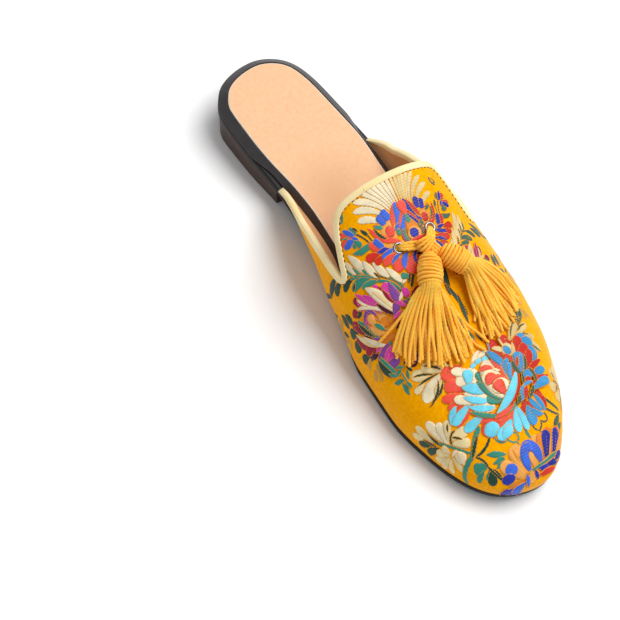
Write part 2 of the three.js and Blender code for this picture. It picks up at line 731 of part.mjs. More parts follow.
/** Mesh with its own finish. */
function piece(name, geometry, color, roughness, metalness = 0) {
  const material = new THREE.MeshStandardMaterial({ color, roughness, metalness });
  const mesh = new THREE.Mesh(geometry, material);
  mesh.name = name;
  return mesh;
}

const mule = new THREE.Group();
mule.name = 'flat_mule';
mule.add(
  piece('outsole', outsole(), 0x2a2626, 0.5),
  piece('heel', heel(), 0x2c2725, 0.35),
  piece('footbed', footbed(), 0x3a3738, 0.45),
  piece('sock', sock(), 0xf4c49b, 0.6),
  piece('upper', piercedUpper(), 0xf5b20c, 0.55),
  piece('binding', binding(), 0xf0dda8, 0.7),
  piece('eyelet_medial', eyelet(EYELETS.medial), 0xc8c9cc, 0.25, 1),
  piece('eyelet_lateral', eyelet(EYELETS.lateral), 0xc8c9cc, 0.25, 1),
  piece('lace_bar_medial', laceBar(EYELETS.medial), 0xf2a93a, 0.8),
  piece('lace_bar_lateral', laceBar(EYELETS.lateral), 0xf2a93a, 0.8),
  piece('lace_knot', laceKnot(), 0xf2a93a, 0.8),
  piece('tassel_a', tassel(TASSELS.a), 0xf5ad40, 0.8),
  piece('tassel_b', tassel(TASSELS.b), 0xf5ad40, 0.8),
);

export default mule;
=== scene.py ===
"""Looks of a flat slip-on mule for the left foot.

A brocade vamp with a bound topline, two eyelets, a cotton lace with two tassels, a tan leather
sock, a bevelled black footbed rim, a thin outsole and a low heel. Sizes are in millimetres until
a mesh is made; +Z is up, the toe points to -Y and the lateral side to +X.
"""

import functools
import logging
import math
from collections.abc import Callable, Sequence
from dataclasses import dataclass, field, replace
from enum import Enum

import bmesh
import bpy
import numpy as np
from mathutils import Matrix, Vector


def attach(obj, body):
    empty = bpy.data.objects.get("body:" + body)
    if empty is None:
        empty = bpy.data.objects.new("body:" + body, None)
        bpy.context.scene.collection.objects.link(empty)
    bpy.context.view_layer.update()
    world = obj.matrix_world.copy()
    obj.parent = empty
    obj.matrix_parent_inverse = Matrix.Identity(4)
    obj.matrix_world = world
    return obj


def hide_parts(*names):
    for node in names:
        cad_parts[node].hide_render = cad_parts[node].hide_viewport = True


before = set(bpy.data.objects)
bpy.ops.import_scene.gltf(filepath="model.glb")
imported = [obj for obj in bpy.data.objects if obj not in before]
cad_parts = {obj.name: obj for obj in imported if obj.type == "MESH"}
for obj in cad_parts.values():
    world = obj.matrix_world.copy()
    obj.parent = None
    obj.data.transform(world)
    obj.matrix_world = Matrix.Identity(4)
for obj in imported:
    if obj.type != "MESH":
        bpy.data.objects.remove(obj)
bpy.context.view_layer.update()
BODY = "root"
MM = 0.001
Array = np.ndarray
Socket = bpy.types.NodeSocket
log = logging.getLogger("flat_mule")


def linear(colour: str) -> tuple[float, float, float, float]:
    """Linear colour of an sRGB hex value.

    Args:
        colour: six hex digits with a leading #.

    Returns:
        Red, green, blue and alpha, linear.
    """
    parts = [int(colour[i:i + 2], 16) / 255 for i in (1, 3, 5)]
    red, green, blue = (c / 12.92 if c <= 0.04045 else ((c + 0.055) / 1.055) ** 2.4 for c in parts)
    return red, green, blue, 1.0


def add_node(tree: bpy.types.NodeTree, kind: str, links: dict | None = None, **settings) -> bpy.types.Node:
    """Node with its settings and links.

    Args:
        tree: node tree that takes it.
        kind: Blender's node type.
        links: socket name or number to an output socket, or to a value for that socket.
        settings: properties of the node.

    Returns:
        The new node.
    """
    node = tree.nodes.new(kind)
    for name, value in settings.items():
        setattr(node, name, value)
    for socket, value in (links or {}).items():
        if isinstance(value, Socket):
            tree.links.new(value, node.inputs[socket])
        else:
            node.inputs[socket].default_value = value
    return node


def wave_scale(period: float) -> float:
    """Scale of a band texture whose bands repeat every so many millimetres."""
    return 2 * math.pi / (20 * period * MM)


def noise_scale(size: float) -> float:
    """Scale of a noise texture whose blots are about so many millimetres across."""
    return 1 / (size * MM)


@dataclass
class Shading:
    """Material in the making, with its nodes and the one that shades it."""

    material: bpy.types.Material
    tree: bpy.types.NodeTree
    shader: bpy.types.Node

    @classmethod
    def begin(cls, name: str) -> "Shading":
        """Plain material.

        Args:
            name: what the real material is.

        Returns:
            The material in the making.
        """
        material = bpy.data.materials.new(name)
        material.use_nodes = True
        tree = material.node_tree
        return cls(material, tree, tree.nodes["Principled BSDF"])

    @property
    def colour(self) -> Socket:
        """What feeds the shader's colour."""
        return self.shader.inputs["Base Color"].links[0].from_socket

    def feed(self, socket: str, source: Socket) -> None:
        """Links a source to one of the shader's sockets."""
        self.tree.links.new(source, self.shader.inputs[socket])

    def fill(self, values: dict[str, float | tuple]) -> None:
        """Sets the shader's own sockets, by their names."""
        for socket, value in values.items():
            self.shader.inputs[socket].default_value = value

    def where(self, kind: str) -> Socket:
        """Texture coordinates of one kind, Object or UV."""
        return add_node(self.tree, "ShaderNodeTexCoord").outputs[kind]

    def noise(self, size: float, detail: float) -> Socket:
        """Noise over the object, from 0 to 1, with blots so many millimetres across."""
        links = {"Vector": self.where("Object"), "Scale": noise_scale(size), "Detail": detail}
        return add_node(self.tree, "ShaderNodeTexNoise", links).outputs["Fac"]

    def bands(
        self, period: float, direction: str, distortion: float, detail: float = 2.0, finer: float = 1.0,
    ) -> Socket:
        """Bands over the UV map, from 0 to 1, so many millimetres apart and with a finer wander."""
        links = {
            "Vector": self.where("UV"), "Scale": wave_scale(period), "Distortion": distortion,
            "Detail": detail, "Detail Scale": finer}
        return add_node(self.tree, "ShaderNodeTexWave", links, bands_direction=direction).outputs["Fac"]

    def mix(
        self, share: Socket | float, first: Socket | tuple, second: Socket | tuple, blend: str = "MIX",
    ) -> Socket:
        """Mix of two colours, by the share of the second."""
        links = {0: share, 6: first, 7: second}
        return add_node(self.tree, "ShaderNodeMix", links, data_type="RGBA", blend_type=blend).outputs[2]

    def emboss(self, height: Socket, strength: float, depth: float) -> None:
        """Gives the shader a bump, so many millimetres deep."""
        links = {"Height": height, "Strength": strength, "Distance": depth * MM}
        self.feed("Normal", add_node(self.tree, "ShaderNodeBump", links).outputs["Normal"])


# Where a finish's darker and lighter colour stand on the noise of its blots
BLOT_STOPS = (0.3, 0.7)


@dataclass(frozen=True)
class Surface:
    """Shader of one finish.

    Attributes:
        colours: darker and lighter sRGB colour that its blots run between.
        blot: size of the blots in millimetres.
        specular: how strongly it mirrors, 0.5 for a common lacquer.
        sheen: how much its nap shines at a low angle.
    """

    name: str
    colours: tuple[str, str]
    blot: float = 20.0
    roughness: float = 0.5
    specular: float = 0.5
    sheen: float = 0.0
    metallic: float = 0.0

    def material(self) -> bpy.types.Material:
        """The finished material.

        Returns:
            Material with its blotted colour, dressed as this kind of surface is.
        """
        made = Shading.begin(self.name)
        ramp = add_node(made.tree, "ShaderNodeValToRGB", {"Fac": made.noise(self.blot, detail=3.0)})
        for stop, place, colour in zip(ramp.color_ramp.elements, BLOT_STOPS, self.colours):
            stop.position = place
            stop.color = linear(colour)
        made.feed("Base Color", ramp.outputs["Color"])
        made.fill({
            "Roughness": self.roughness, "Specular IOR Level": self.specular, "Sheen Weight": self.sheen,
            "Metallic": self.metallic})
        self.dress(made)
        return made.material

    def dress(self, made: Shading) -> None:
        """Adds what this kind of surface shows besides its colour: nothing, on a plain one.

        Args:
            made: the material in the making.
        """


@dataclass(frozen=True)
class Satin(Surface):
    """Silk satin of the brocade's ground: long floats, so a soft gloss and fine threads.

    Attributes:
        thread: millimetres between its threads.
    """

    thread: float = 0.5

    def dress(self, made: Shading) -> None:
        """Adds threads across the vamp, with a slubby nap, and a gloss in the dye's own colour.

        Args:
            made: the material in the making.
        """
        threads = made.bands(self.thread, "Y", distortion=1.5, finer=2.0)
        made.emboss(threads, strength=0.5, depth=0.12)
        made.feed("Specular Tint", made.colour)


@dataclass(frozen=True)
class Figured(Surface):
    """Silk floats of the woven figures: glossy, with the ground in a fine line between them.

    Attributes:
        gap: colour of the ground between the floats, a little darker than the satin itself as painted
            shade beside the raised floats.
        line: millimetres from a float's edge where the ground ends and where the float is full.
        step: millimetres that the wefts step the outline.
        weft: millimetres between its wefts.
    """

    # Ground colour between the floats, darkened a little: painted shade beside the floats' raised edges.
    gap: str = "#E29A06"
    line: tuple[float, float] = (0.2, 0.36)
    step: float = 0.24
    weft: float = 1.1

    def dress(self, made: Shading) -> None:
        """Adds each stroke's own thread colour inside its outline, and wefts.

        Args:
            made: the material in the making.
        """
        thread, margin = (
            add_node(made.tree, "ShaderNodeAttribute", attribute_name=name)
            for name in ("thread", "margin"))
        dyed = made.mix(1.0, thread.outputs["Color"], made.colour, "MULTIPLY")
        wefts = made.bands(self.weft, "Y", distortion=2.0, detail=1.0)
        stepped = add_node(
            made.tree, "ShaderNodeMath", {0: wefts, 1: self.step, 2: margin.outputs["Fac"]},
            operation="MULTIPLY_ADD")
        inside = add_node(
            made.tree, "ShaderNodeMapRange",
            {"Value": stepped.outputs["Value"], "From Min": self.line[0], "From Max": self.line[1]})
        made.feed("Base Color", made.mix(inside.outputs["Result"], linear(self.gap), dyed))
        made.emboss(wefts, strength=0.6, depth=0.15)


@dataclass(frozen=True)
class Ribbed(Surface):
    """Grosgrain ribbon: matt cotton and silk with ribs across it.

    Attributes:
        rib: millimetres between its ribs.
    """

    rib: float = 0.75

    def dress(self, made: Shading) -> None:
        """Adds ribs across the ribbon, in its own length."""
        ribs = made.bands(self.rib, "X", distortion=0.4)
        made.emboss(ribs, strength=0.5, depth=0.2)


@dataclass(frozen=True)
class Leather(Surface):
    """Lining leather or a painted leather edge: fine pebbled grain.

    Attributes:
        grain: millimetres across a pebble.
        depth: millimetres between its top and its foot.
        pore: size of a pore, by the pebble's.
    """

    grain: float = 0.8
    depth: float = 0.05
    pore: float = 0.4

    def dress(self, made: Shading) -> None:
        """Adds pebbles and pores.

        Args:
            made: the material in the making.
        """
        pebbles = add_node(
            made.tree, "ShaderNodeTexVoronoi",
            {"Vector": made.where("Object"), "Scale": noise_scale(self.grain)})
        pores = made.noise(self.pore * self.grain, detail=4.0)
        height = add_node(
            made.tree, "ShaderNodeMath", {0: pebbles.outputs["Distance"], 1: pores}, operation="ADD")
        made.emboss(height.outputs["Value"], strength=0.4, depth=self.depth)


@dataclass(frozen=True)
class DarkPatchLeather(Leather):
    """Leather of the sock, darker in a soft round patch towards its front.

    Attributes:
        patch_colour: colour in the middle of the patch.
        middle: where that is, in millimetres.
        reach: millimetres from there to where the patch has faded.
    """

    patch_colour: str = "#D4A277"
    middle: tuple[float, float] = (-6.0, 41.0)
    reach: float = 29.0

    def dress(self, made: Shading) -> None:
        """Adds pebbles and pores, and a soft round patch.

        Args:
            made: the material in the making.
        """
        super().dress(made)
        across, along = (-place / self.reach for place in self.middle)
        scale = noise_scale(self.reach)
        centred = add_node(
            made.tree, "ShaderNodeMapping",
            {"Vector": made.where("Object"), "Location": (across, along, 0.0),
             "Scale": (scale, scale, 0.0)})
        # Soft round patch on the sock, darker towards its middle.
        patch = add_node(
            made.tree, "ShaderNodeTexGradient", {"Vector": centred.outputs["Vector"]},
            gradient_type="SPHERICAL")
        made.feed("Base Color", made.mix(patch.outputs["Fac"], made.colour, linear(self.patch_colour)))


@dataclass(frozen=True)
class Spun(Surface):
    """Soft twisted cotton: matt, with a nap, and light that soaks a little way in.

    Attributes:
        fibre: length of the fibres in millimetres.
        glow: how much of the light soaks in.
        soak: millimetres that red, green and blue light soak in.
    """

    fibre: float = 0.35
    glow: float = 0.4
    soak: tuple[float, float, float] = (1.0, 0.6, 0.3)

    def dress(self, made: Shading) -> None:
        """Adds short fibres in the twist, and the soft glow.

        Args:
            made: the material in the making.
        """
        made.emboss(made.noise(self.fibre, detail=3.0), strength=0.5, depth=0.15)
        made.fill({
            "Sheen Roughness": 0.5, "Subsurface Weight": self.glow, "Subsurface Scale": 1.0,
            "Subsurface Radius": tuple(reach * MM for reach in self.soak)})


@dataclass(frozen=True)
class Plated(Surface):
    """Nickel-plated brass: bright, with faint handling marks.

    Attributes:
        mark: millimetres across a mark.
        wander: how far the roughness goes below and above its own value.
    """

    mark: float = 1.0
    wander: tuple[float, float] = (-0.08, 0.1)

    def dress(self, made: Shading) -> None:
        """Adds roughness that wanders a little.

        Args:
            made: the material in the making.
        """
        low, high = (self.roughness + change for change in self.wander)
        gloss = add_node(
            made.tree, "ShaderNodeMapRange",
            {"Value": made.noise(self.mark, detail=4.0), "To Min": low, "To Max": high})
        made.feed("Roughness", gloss.outputs["Result"])


class Finish(Enum):
    """Finishes of the mule."""

    # Silk satin, golden yellow: saturated, with a fine mottle from its floats.
    GROUND = Satin("golden_silk_satin", ("#F09B00", "#FDB106"), 1.5, 0.4, 0.04)
    # Dyed silk floats over it: each stroke has its thread's own colour.
    FIGURES = Figured("dyed_silk_floats", ("#EAEAEA", "#FFFFFF"), 3.0, 0.4, 0.2)
    # Vegetable-tanned lining leather, natural tan: matt, hardly mottled, with a darker round patch on the
    # sock.
    SOCK = DarkPatchLeather("tan_sock_leather", ("#E4B389", "#EBBD93"), 2.2, 0.55, 0.25, depth=0.08)
    LINING = Leather("tan_lining_leather", ("#CE9464", "#DEA676"), 14.0, 0.6, 0.2)
    # The same leather's cut edge: paler, with loose fibres, and lightened further as a painted highlight
    # along the sock's bevel.
    CUT_EDGE = Leather("cut_leather_edge_and_highlight", ("#F6DEC6", "#FFF0DE"), 4.0, 0.7, 0.15, grain=0.5)
    # Black edge paint over leather: satin, with a low grain.
    RIM = Leather("black_painted_rim", ("#302C2D", "#3C3839"), 10.0, 0.42, 0.4, grain=0.6, depth=0.03)
    SOLE = Leather("black_painted_sole", ("#181515", "#201C1C"), 10.0, 0.5, 0.25, grain=0.7, depth=0.04)
    HEEL = Leather("black_painted_heel", ("#36221A", "#462D22"), 12.0, 0.36, 0.25, grain=0.9, depth=0.02)
    # Cream grosgrain ribbon: matt, ribbed.
    RIBBON = Ribbed("cream_grosgrain", ("#F2DA9E", "#FAE8B8"), 9.0, 0.7, 0.15)
    # Mercerised sewing thread, dark brown.
    STITCH = Spun("brown_sewing_thread", ("#4A2C0C", "#6A4418"), 3.0, 0.6, 0.2, fibre=0.2, glow=0.0)
    # Twisted cotton, golden orange: soft and matt.
    COTTON = Spun("golden_twisted_cotton", ("#FFB138", "#FFC350"), 6.0, 0.75, 0.1, 0.05)
    # Nickel plate.
    SILVER = Plated("nickel_plate", ("#85878B", "#A4A6A9"), 2.0, 0.26, metallic=1.0)


@functools.cache
def material_of(finish: Finish) -> bpy.types.Material:
    """The material of a finish, made once."""
    return finish.value.material()


def settle(piece: bpy.types.Object, finish: Finish, slot: str, *nodes: str) -> bpy.types.Object:
    """Gives a piece its finish and its place in the frame.

    Args:
        piece: new object.
        finish: its finish.
        slot: name of its material slot; not used.
        nodes: nodes of the frame that it stands for.

    Returns:
        The same object.
    """
    piece.data.materials.append(material_of(finish))
    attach(piece, BODY)
    if nodes:
        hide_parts(*nodes)
    log.info("%s: %d faces", piece.name, len(piece.data.polygons))
    return piece


def placed(mesh: bpy.types.Mesh) -> bpy.types.Object:
    """Smooth-shaded object of a mesh, in the scene.

    Args:
        mesh: the mesh, with the piece's name.

    Returns:
        The new object.
    """
    mesh.shade_smooth()
    piece = bpy.data.objects.new(mesh.name, mesh)
    bpy.context.scene.collection.objects.link(piece)
    return piece


def object_of(name: str, shape: bmesh.types.BMesh, sharp: float | None = None) -> bpy.types.Object:
    """Object from a bmesh.

    Args:
        name: the piece's name.
        shape: its mesh, freed here.
        sharp: angle in degrees past which an edge stays sharp.

    Returns:
        The new object.
    """
    mesh = bpy.data.meshes.new(name)
    shape.to_mesh(mesh)
    shape.free()
    piece = placed(mesh)
    if sharp:
        mesh.set_sharp_from_angle(angle=math.radians(sharp))
    return piece


def joined(name: str, points: Array, faces: list) -> bpy.types.Object:
    """Object of many small shapes in one mesh.

    Args:
        name: the piece's name.
        points: corners in millimetres.
        faces: numbers of each face's corners.

    Returns:
        The new object.
    """
    mesh = bpy.data.meshes.new(name)
    mesh.from_pydata((points * MM).tolist(), [], faces)
    return placed(mesh)


def draped_grid(
    columns: int, rows: int, place: Callable[[Array, Array], Array], merge: float = 0.0,
) -> bmesh.types.BMesh:
    """Grid whose corners are carried to a surface, with shares across and along as UV.

    Args:
        columns: cells across.
        rows: cells along.
        place: points in millimetres for shares across and along.
        merge: corners nearer than this, in millimetres, become one.

    Returns:
        The shaped bmesh.
    """
    shape = bmesh.new()
    shape.loops.layers.uv.new("surface")
    bmesh.ops.create_grid(shape, x_segments=columns, y_segments=rows, size=0.5, calc_uvs=True)
    across = np.array([v.co.x for v in shape.verts]) + 0.5
    along = np.array([v.co.y for v in shape.verts]) + 0.5
    for vertex, point in zip(shape.verts, place(across, along) * MM):
        vertex.co = point
    if merge:
        bmesh.ops.remove_doubles(shape, verts=shape.verts, dist=merge * MM)
    return shape


def unit(vectors: Array) -> Array:
    """The same directions with a length of 1."""
    return vectors / np.maximum(np.linalg.norm(vectors, axis=-1, keepdims=True), 1e-12)


def run_of(points: Array) -> Array:
    """Length along a line from its start to each of its points."""
    return np.concatenate([[0], np.cumsum(np.linalg.norm(np.diff(points, axis=0), axis=1))])


def evenly(points: Array, spacing: float) -> Array:
    """The same line with points a set distance apart.

    Args:
        points: its points.
        spacing: millimetres between the new ones.

    Returns:
        The new points.
    """
    length = run_of(points)
    places = np.linspace(0, length[-1], max(int(round(length[-1] / spacing)), 2) + 1)
    return np.stack([np.interp(places, length, column) for column in points.T], axis=1)


def smooth_path(points: Array, spacing: float) -> Array:
    """Smooth curve through points, evenly spaced.

    Args:
        points: points in millimetres.
        spacing: millimetres between the new points.

    Returns:
        The new points.
    """
    padded = np.concatenate([[2 * points[0] - points[1]], points, [2 * points[-1] - points[-2]]])
    share = np.linspace(0, 1, 16, endpoint=False)[:, None]
    spans = [
        0.5 * (2 * b + (c - a) * share + (2 * a - 5 * b + 4 * c - d) * share ** 2
               + (3 * b - a - 3 * c + d) * share ** 3)
        for a, b, c, d in zip(padded, padded[1:], padded[2:], padded[3:])]
    return evenly(np.concatenate([*spans, points[-1:]]), spacing)


def curve_through(places: Sequence[float], values: Sequence[float]) -> Callable[[Array], Array]:
    """Smooth curve through the rows of a table that never overshoots them.

    Args:
        places: rising places.
        values: value at each place.

    Returns:
        Function of an array of places.
    """
    x, y = np.array(places, float), np.array(values, float)
    secants = np.diff(y) / np.diff(x)
    before, after = np.r_[secants[0], secants], np.r_[secants, secants[-1]]
    both = before * after
    slopes = np.where(both > 0, 2 * both / np.where(both > 0, before + after, 1), 0)

    def value(place: Array) -> Array:
        """Value at each place, by a cubic between the rows on either side.

        Args:
            place: places, held within the table's own.

        Returns:
            The value at each.
        """
        at = np.clip(place, x[0], x[-1])
        i = np.clip(np.searchsorted(x, at, side="left") - 1, 0, len(x) - 2)
        span = x[i + 1] - x[i]
        t = (at - x[i]) / span
        rise = y[i] * (1 + 2 * t) * (1 - t) ** 2 + y[i + 1] * t * t * (3 - 2 * t)
        return rise + span * (slopes[i] * t * (1 - t) ** 2 + slopes[i + 1] * t * t * (t - 1))

    return value


def drawn(share: Array, amount: float, start: float, full: float) -> Array:
    """A soft step: 0 up to the start, and the whole amount from where it is full."""
    t = np.clip((share - start) / (full - start), 0, 1)
    return amount * t * t * (3 - 2 * t)


# How far a ply's middle stands off a cord's middle, by the cord's radius
PLY = 0.27
# Direction that no cord starts along, for the first frame of its section
ASKEW = (0.31, 0.48, 0.82)


class CordMesh:
    """Many cords joined into one mesh."""

    def __init__(self) -> None:
        """Starts with no cords."""
        self.points: list[Array] = []
        self.faces: list[Array] = []
        self.count = 0

    def add(self, path: Array, radius: float | Array, sides: int = 9, lay: float = 0.0) -> None:
        """Adds one cord along a path.

        Args:
            path: points in millimetres.
            radius: its radius, or one for each point.
            sides: corners of its section.
            lay: millimetres for a whole turn of a two-ply twist, or 0 for a round cord.
        """
        tangents = unit(np.gradient(path, axis=0))
        normals = [unit(np.cross(tangents[0], ASKEW))]
        for tangent in tangents[1:]:
            normals.append(unit(normals[-1] - tangent * (normals[-1] @ tangent)))
        turn = np.linspace(0, 2 * np.pi, sides, endpoint=False)
        reach = np.broadcast_to(np.asarray(radius, float), len(path))[:, None] * np.ones(sides)
        if lay:
            lean = turn - (2 * np.pi / lay) * run_of(path)[:, None]
            reach = reach * (
                PLY * np.abs(np.cos(lean)) + np.sqrt((1 - PLY) ** 2 - (PLY * np.sin(lean)) ** 2))
        out = (
            np.cos(turn)[:, None] * np.array(normals)[:, None]
            + np.sin(turn)[:, None] * np.cross(tangents, normals)[:, None])
        rings = path[:, None] + reach[..., None] * out
        rows = np.arange(len(path) - 1)[:, None] * sides
        here, after = np.arange(sides), (np.arange(sides) + 1) % sides
        quads = np.stack([rows + here, rows + after, rows + sides + after, rows + sides + here], axis=-1)
        total, last = len(path) * sides, (len(path) - 1) * sides
        caps = [
            np.stack([first, second, np.full(sides, tip), np.full(sides, tip)], axis=-1)
            for first, second, tip in ((after, here, total), (last + here, last + after, total + 1))]
        self.points.append(np.concatenate([rings.reshape(-1, 3), path[[0, -1]]]))
        self.faces.append(self.count + np.concatenate([quads.reshape(-1, 4), *caps]))
        self.count += total + 2

    def piece(self, name: str) -> bpy.types.Object:
        """One object of all the cords."""
        faces = [tuple(dict.fromkeys(face)) for face in np.concatenate(self.faces).tolist()]
        return joined(name, np.concatenate(self.points), faces)


def angle_of(share: Array) -> Array:
    """Station angle of a share of the length: 0 at the heel, pi at the toe tip."""
    return np.arccos(np.clip(1 - 2 * np.asarray(share, float), -1, 1))


def share_of(angle: Array) -> Array:
    """Share of the length of a station angle."""
    return (1 - np.cos(angle)) / 2


@dataclass
class Last:
    """Form that the sole and upper follow, from the same named sizes as the solids.

    Attributes:
        notch_girth: girth from the sole edge to the bottom of each notch, medial and lateral.
        tongue_spread: how much closer the tongue's columns stand near the notch.
        footprint: share of the length, then medial and lateral half width by the ball width.
        shank_line: share of the length, then the rise of the sole's underside by the heel height.
        sections: share of the length, ridge height by the instep height, then swell and height of
            the widest line, medial and lateral, in millimetres.
        topline: girth and share of the length where the upper ends, each side.
    """

    length: float = 258.0
    ball_width: float = 85.2
    instep_height: float = 67.5
    heel_height: float = 17.7
    axis_shift: float = -2.4
    bed_base: float = 4.0
    feather_inset: float = 0.2
    side_rounding: float = 2.35
    top_rounding: float = 2.1
    lower_girth: float = 0.25
    lower_lean: float = math.radians(60)
    notch_girth: tuple[float, float] = (0.465, 0.6)
    quarter_columns: int = 11
    tongue_columns: int = 14
    tongue_spread: float = 1.6
    footprint: tuple = (
        (0.00, 0.000, 0.000), (0.04, 0.298, 0.232), (0.09, 0.359, 0.292), (0.17, 0.346, 0.335),
        (0.30, 0.300, 0.398), (0.42, 0.289, 0.455), (0.55, 0.382, 0.511), (0.66, 0.468, 0.532),
        (0.76, 0.474, 0.505), (0.85, 0.428, 0.423), (0.92, 0.357, 0.305), (0.97, 0.252, 0.177),
        (1.00, 0.000, 0.000))
    shank_line: tuple = (
        (0.00, 1.000), (0.12, 0.860), (0.25, 0.710), (0.35, 0.486), (0.45, 0.254), (0.55, 0.085),
        (0.62, 0.000), (0.80, 0.000), (0.90, 0.085), (1.00, 0.243))
    sections: tuple = (
        (0.20, 1.240, 2.0, 18.0, 0.8, 12.0), (0.30, 1.170, 4.2, 23.0, 0.8, 12.0),
        (0.40, 1.052, 10.0, 24.0, 0.6, 11.0), (0.44, 1.000, 11.2, 23.5, 0.6, 10.5),
        (0.50, 0.904, 9.8, 21.0, 0.8, 10.0), (0.54, 0.841, 7.6, 18.0, 1.0, 9.5),
        (0.60, 0.756, 4.6, 14.0, 1.4, 9.0), (0.66, 0.681, 2.5, 10.5, 1.6, 8.2),
        (0.76, 0.570, 1.4, 7.4, 1.5, 6.8), (0.85, 0.474, 1.0, 5.8, 1.1, 5.6),
        (0.92, 0.393, 0.8, 5.0, 0.9, 5.0), (0.97, 0.310, 0.6, 4.6, 0.6, 4.6),
        (1.00, 0.184, 0.0, 4.1, 0.0, 4.1))
    topline: tuple = (
        ((0.000, 0.275), (0.090, 0.297), (0.190, 0.358), (0.310, 0.450), (0.410, 0.510), (0.465, 0.536),
         (0.500, 0.505), (0.535, 0.470), (0.590, 0.445), (0.680, 0.437), (1.000, 0.436)),
        ((0.000, 0.252), (0.185, 0.289), (0.268, 0.326), (0.390, 0.401), (0.470, 0.457), (0.550, 0.514),
         (0.600, 0.546), (0.618, 0.515), (0.635, 0.475), (0.665, 0.446), (0.730, 0.436), (1.000, 0.436)))
    curves: dict[str, list] = field(default_factory=dict)

    def __post_init__(self) -> None:
        """Works out the curves of the tables."""
        at, *sides = zip(*self.footprint)
        self.curves["half"] = [
            curve_through(angle_of(at), np.array(side) * self.ball_width) for side in sides]
        at, rise = zip(*self.shank_line)
        self.curves["shank"] = [curve_through(at, np.array(rise) * self.heel_height)]
        at, ridge, *sides = zip(*self.sections)
        stations = angle_of(at)
        self.curves["ridge"] = [curve_through(stations, np.array(ridge) * self.instep_height)]
        self.curves["swell"] = [curve_through(stations, column) for column in sides[::2]]
        self.curves["widest"] = [curve_through(stations, column) for column in sides[1::2]]
        ends = [tuple(zip(*rows)) for rows in self.topline]
        self.curves["end"] = [curve_through(girth, angle_of(at)) for girth, at in ends]

    def by_side(self, name: str, signed: Array, place: Array) -> Array:
        """A curve's value on the medial side where signed is under 0, else on the lateral side."""
        medial, lateral = self.curves[name]
        return np.where(signed < 0, medial(place), lateral(place))

    def shank(self, share: Array) -> Array:
        """Height of the sole's underside at a share of the length."""
        return self.curves["shank"][0](share)

    def underside(self, along: Array) -> Array:
        """Height of the sole's underside at a place along the frame, in millimetres."""
        return self.shank(0.5 - along / self.length)

    def point(self, girth: Array, angle: Array) -> Array:
        """Outer face of the upper.

        Args:
            girth: place round the section, -1 at the medial sole edge, 0 on the ridge, 1 laterally.
            angle: station angle.

        Returns:
            Points in millimetres.
        """
        rise = 1 - np.abs(girth)
        foot = np.maximum(self.by_side("half", girth, angle) - self.feather_inset, 0)
        out = self.by_side("swell", girth, angle)
        feather = self.shank(share_of(angle)) + self.bed_base
        height = np.maximum(self.curves["ridge"][0](angle) - feather, 0)
        lower = np.minimum(self.by_side("widest", girth, angle), height)
        lean = self.lower_lean * (1 - np.minimum(rise / self.lower_girth, 1))
        arc = np.pi / 2 * np.clip((rise - self.lower_girth) / (1 - self.lower_girth), 0, 1)
        below = rise < self.lower_girth
        bow = (1 - np.cos(lean)) / (1 - math.cos(self.lower_lean))
        side = np.maximum(np.cos(arc), 0) ** (2 / self.side_rounding)
        across = np.where(below, foot + out * (1 - bow), (foot + out) * side)
        climb = lower + (height - lower) * np.sin(arc) ** (2 / self.top_rounding)
        up = np.where(below, lower * (1 - np.sin(lean) / math.sin(self.lower_lean)), climb)
        return np.stack([
            self.axis_shift + np.sign(girth) * across,
            self.length * (0.5 - share_of(angle)),
            feather + up], axis=-1)

    def normal(self, girth: Array, angle: Array, step: float = 0.002) -> Array:
        """Outward direction of the upper's face, straight ahead at the toe tip.

        Args:
            girth: place round the section.
            angle: station angle.
            step: how far apart the points that give it lie.

        Returns:
            Directions of length 1.
        """
        low, high = np.maximum(girth - step, -1), np.minimum(girth + step, 1)
        inner = np.minimum(angle, np.pi - 2 * step)
        around = self.point(high, inner) - self.point(low, inner)
        along = self.point(girth, inner - step) - self.point(girth, inner + step)
        tip = (np.asarray(angle) > np.pi - step)[..., None]
        return np.where(tip, (0.0, -1.0, 0.0), unit(np.cross(around, along)))

    def over(self, girth: Array, share: Array, height: Array = 0.0) -> Array:
        """Points over the upper's outer face.

        Args:
            girth: place round the section.
            share: share of the length.
            height: millimetres out from the face.

        Returns:
            Points in millimetres.
        """
        girth, share = np.broadcast_arrays(np.asarray(girth, float), np.asarray(share, float))
        angle = angle_of(share)
        return self.point(girth, angle) + self.normal(girth, angle) * np.asarray(height, float)[..., None]

    def columns(self, across: Array) -> tuple[Array, Array]:
        """Columns of the upper's grid.

        Args:
            across: share of the way from the medial sole edge to the lateral one.

        Returns:
            Girth of each at the toe tip and at the topline.
        """
        total = self.quarter_columns + self.tongue_columns
        step = np.where(across < 0.5, across, 1 - across) * 2 * total
        past = (np.maximum(step - self.quarter_columns, 0) / self.tongue_columns) ** self.tongue_spread
        medial, lateral = (
            np.where(
                step <= self.quarter_columns, notch * step / self.quarter_columns,
                notch + (1 - notch) * past)
            for notch in self.notch_girth)
        side = np.where(across < 0.5, -1.0, 1.0)
        return side * (1 - (medial + lateral) / 2), side * (1 - np.where(across < 0.5, medial, lateral))

    def upper_place(self, across: Array, along: Array) -> tuple[Array, Array]:
        """Place on the upper's grid.

        Args:
            across: share of the way from the medial sole edge to the lateral one.
            along: share of the way from the toe tip to the topline.

        Returns:
            Girth and station angle.
        """
        tip, end = self.columns(across)
        last = self.by_side("end", across - 0.5, 1 - np.abs(end))
        return tip + (end - tip) * along, np.pi + (last - np.pi) * along

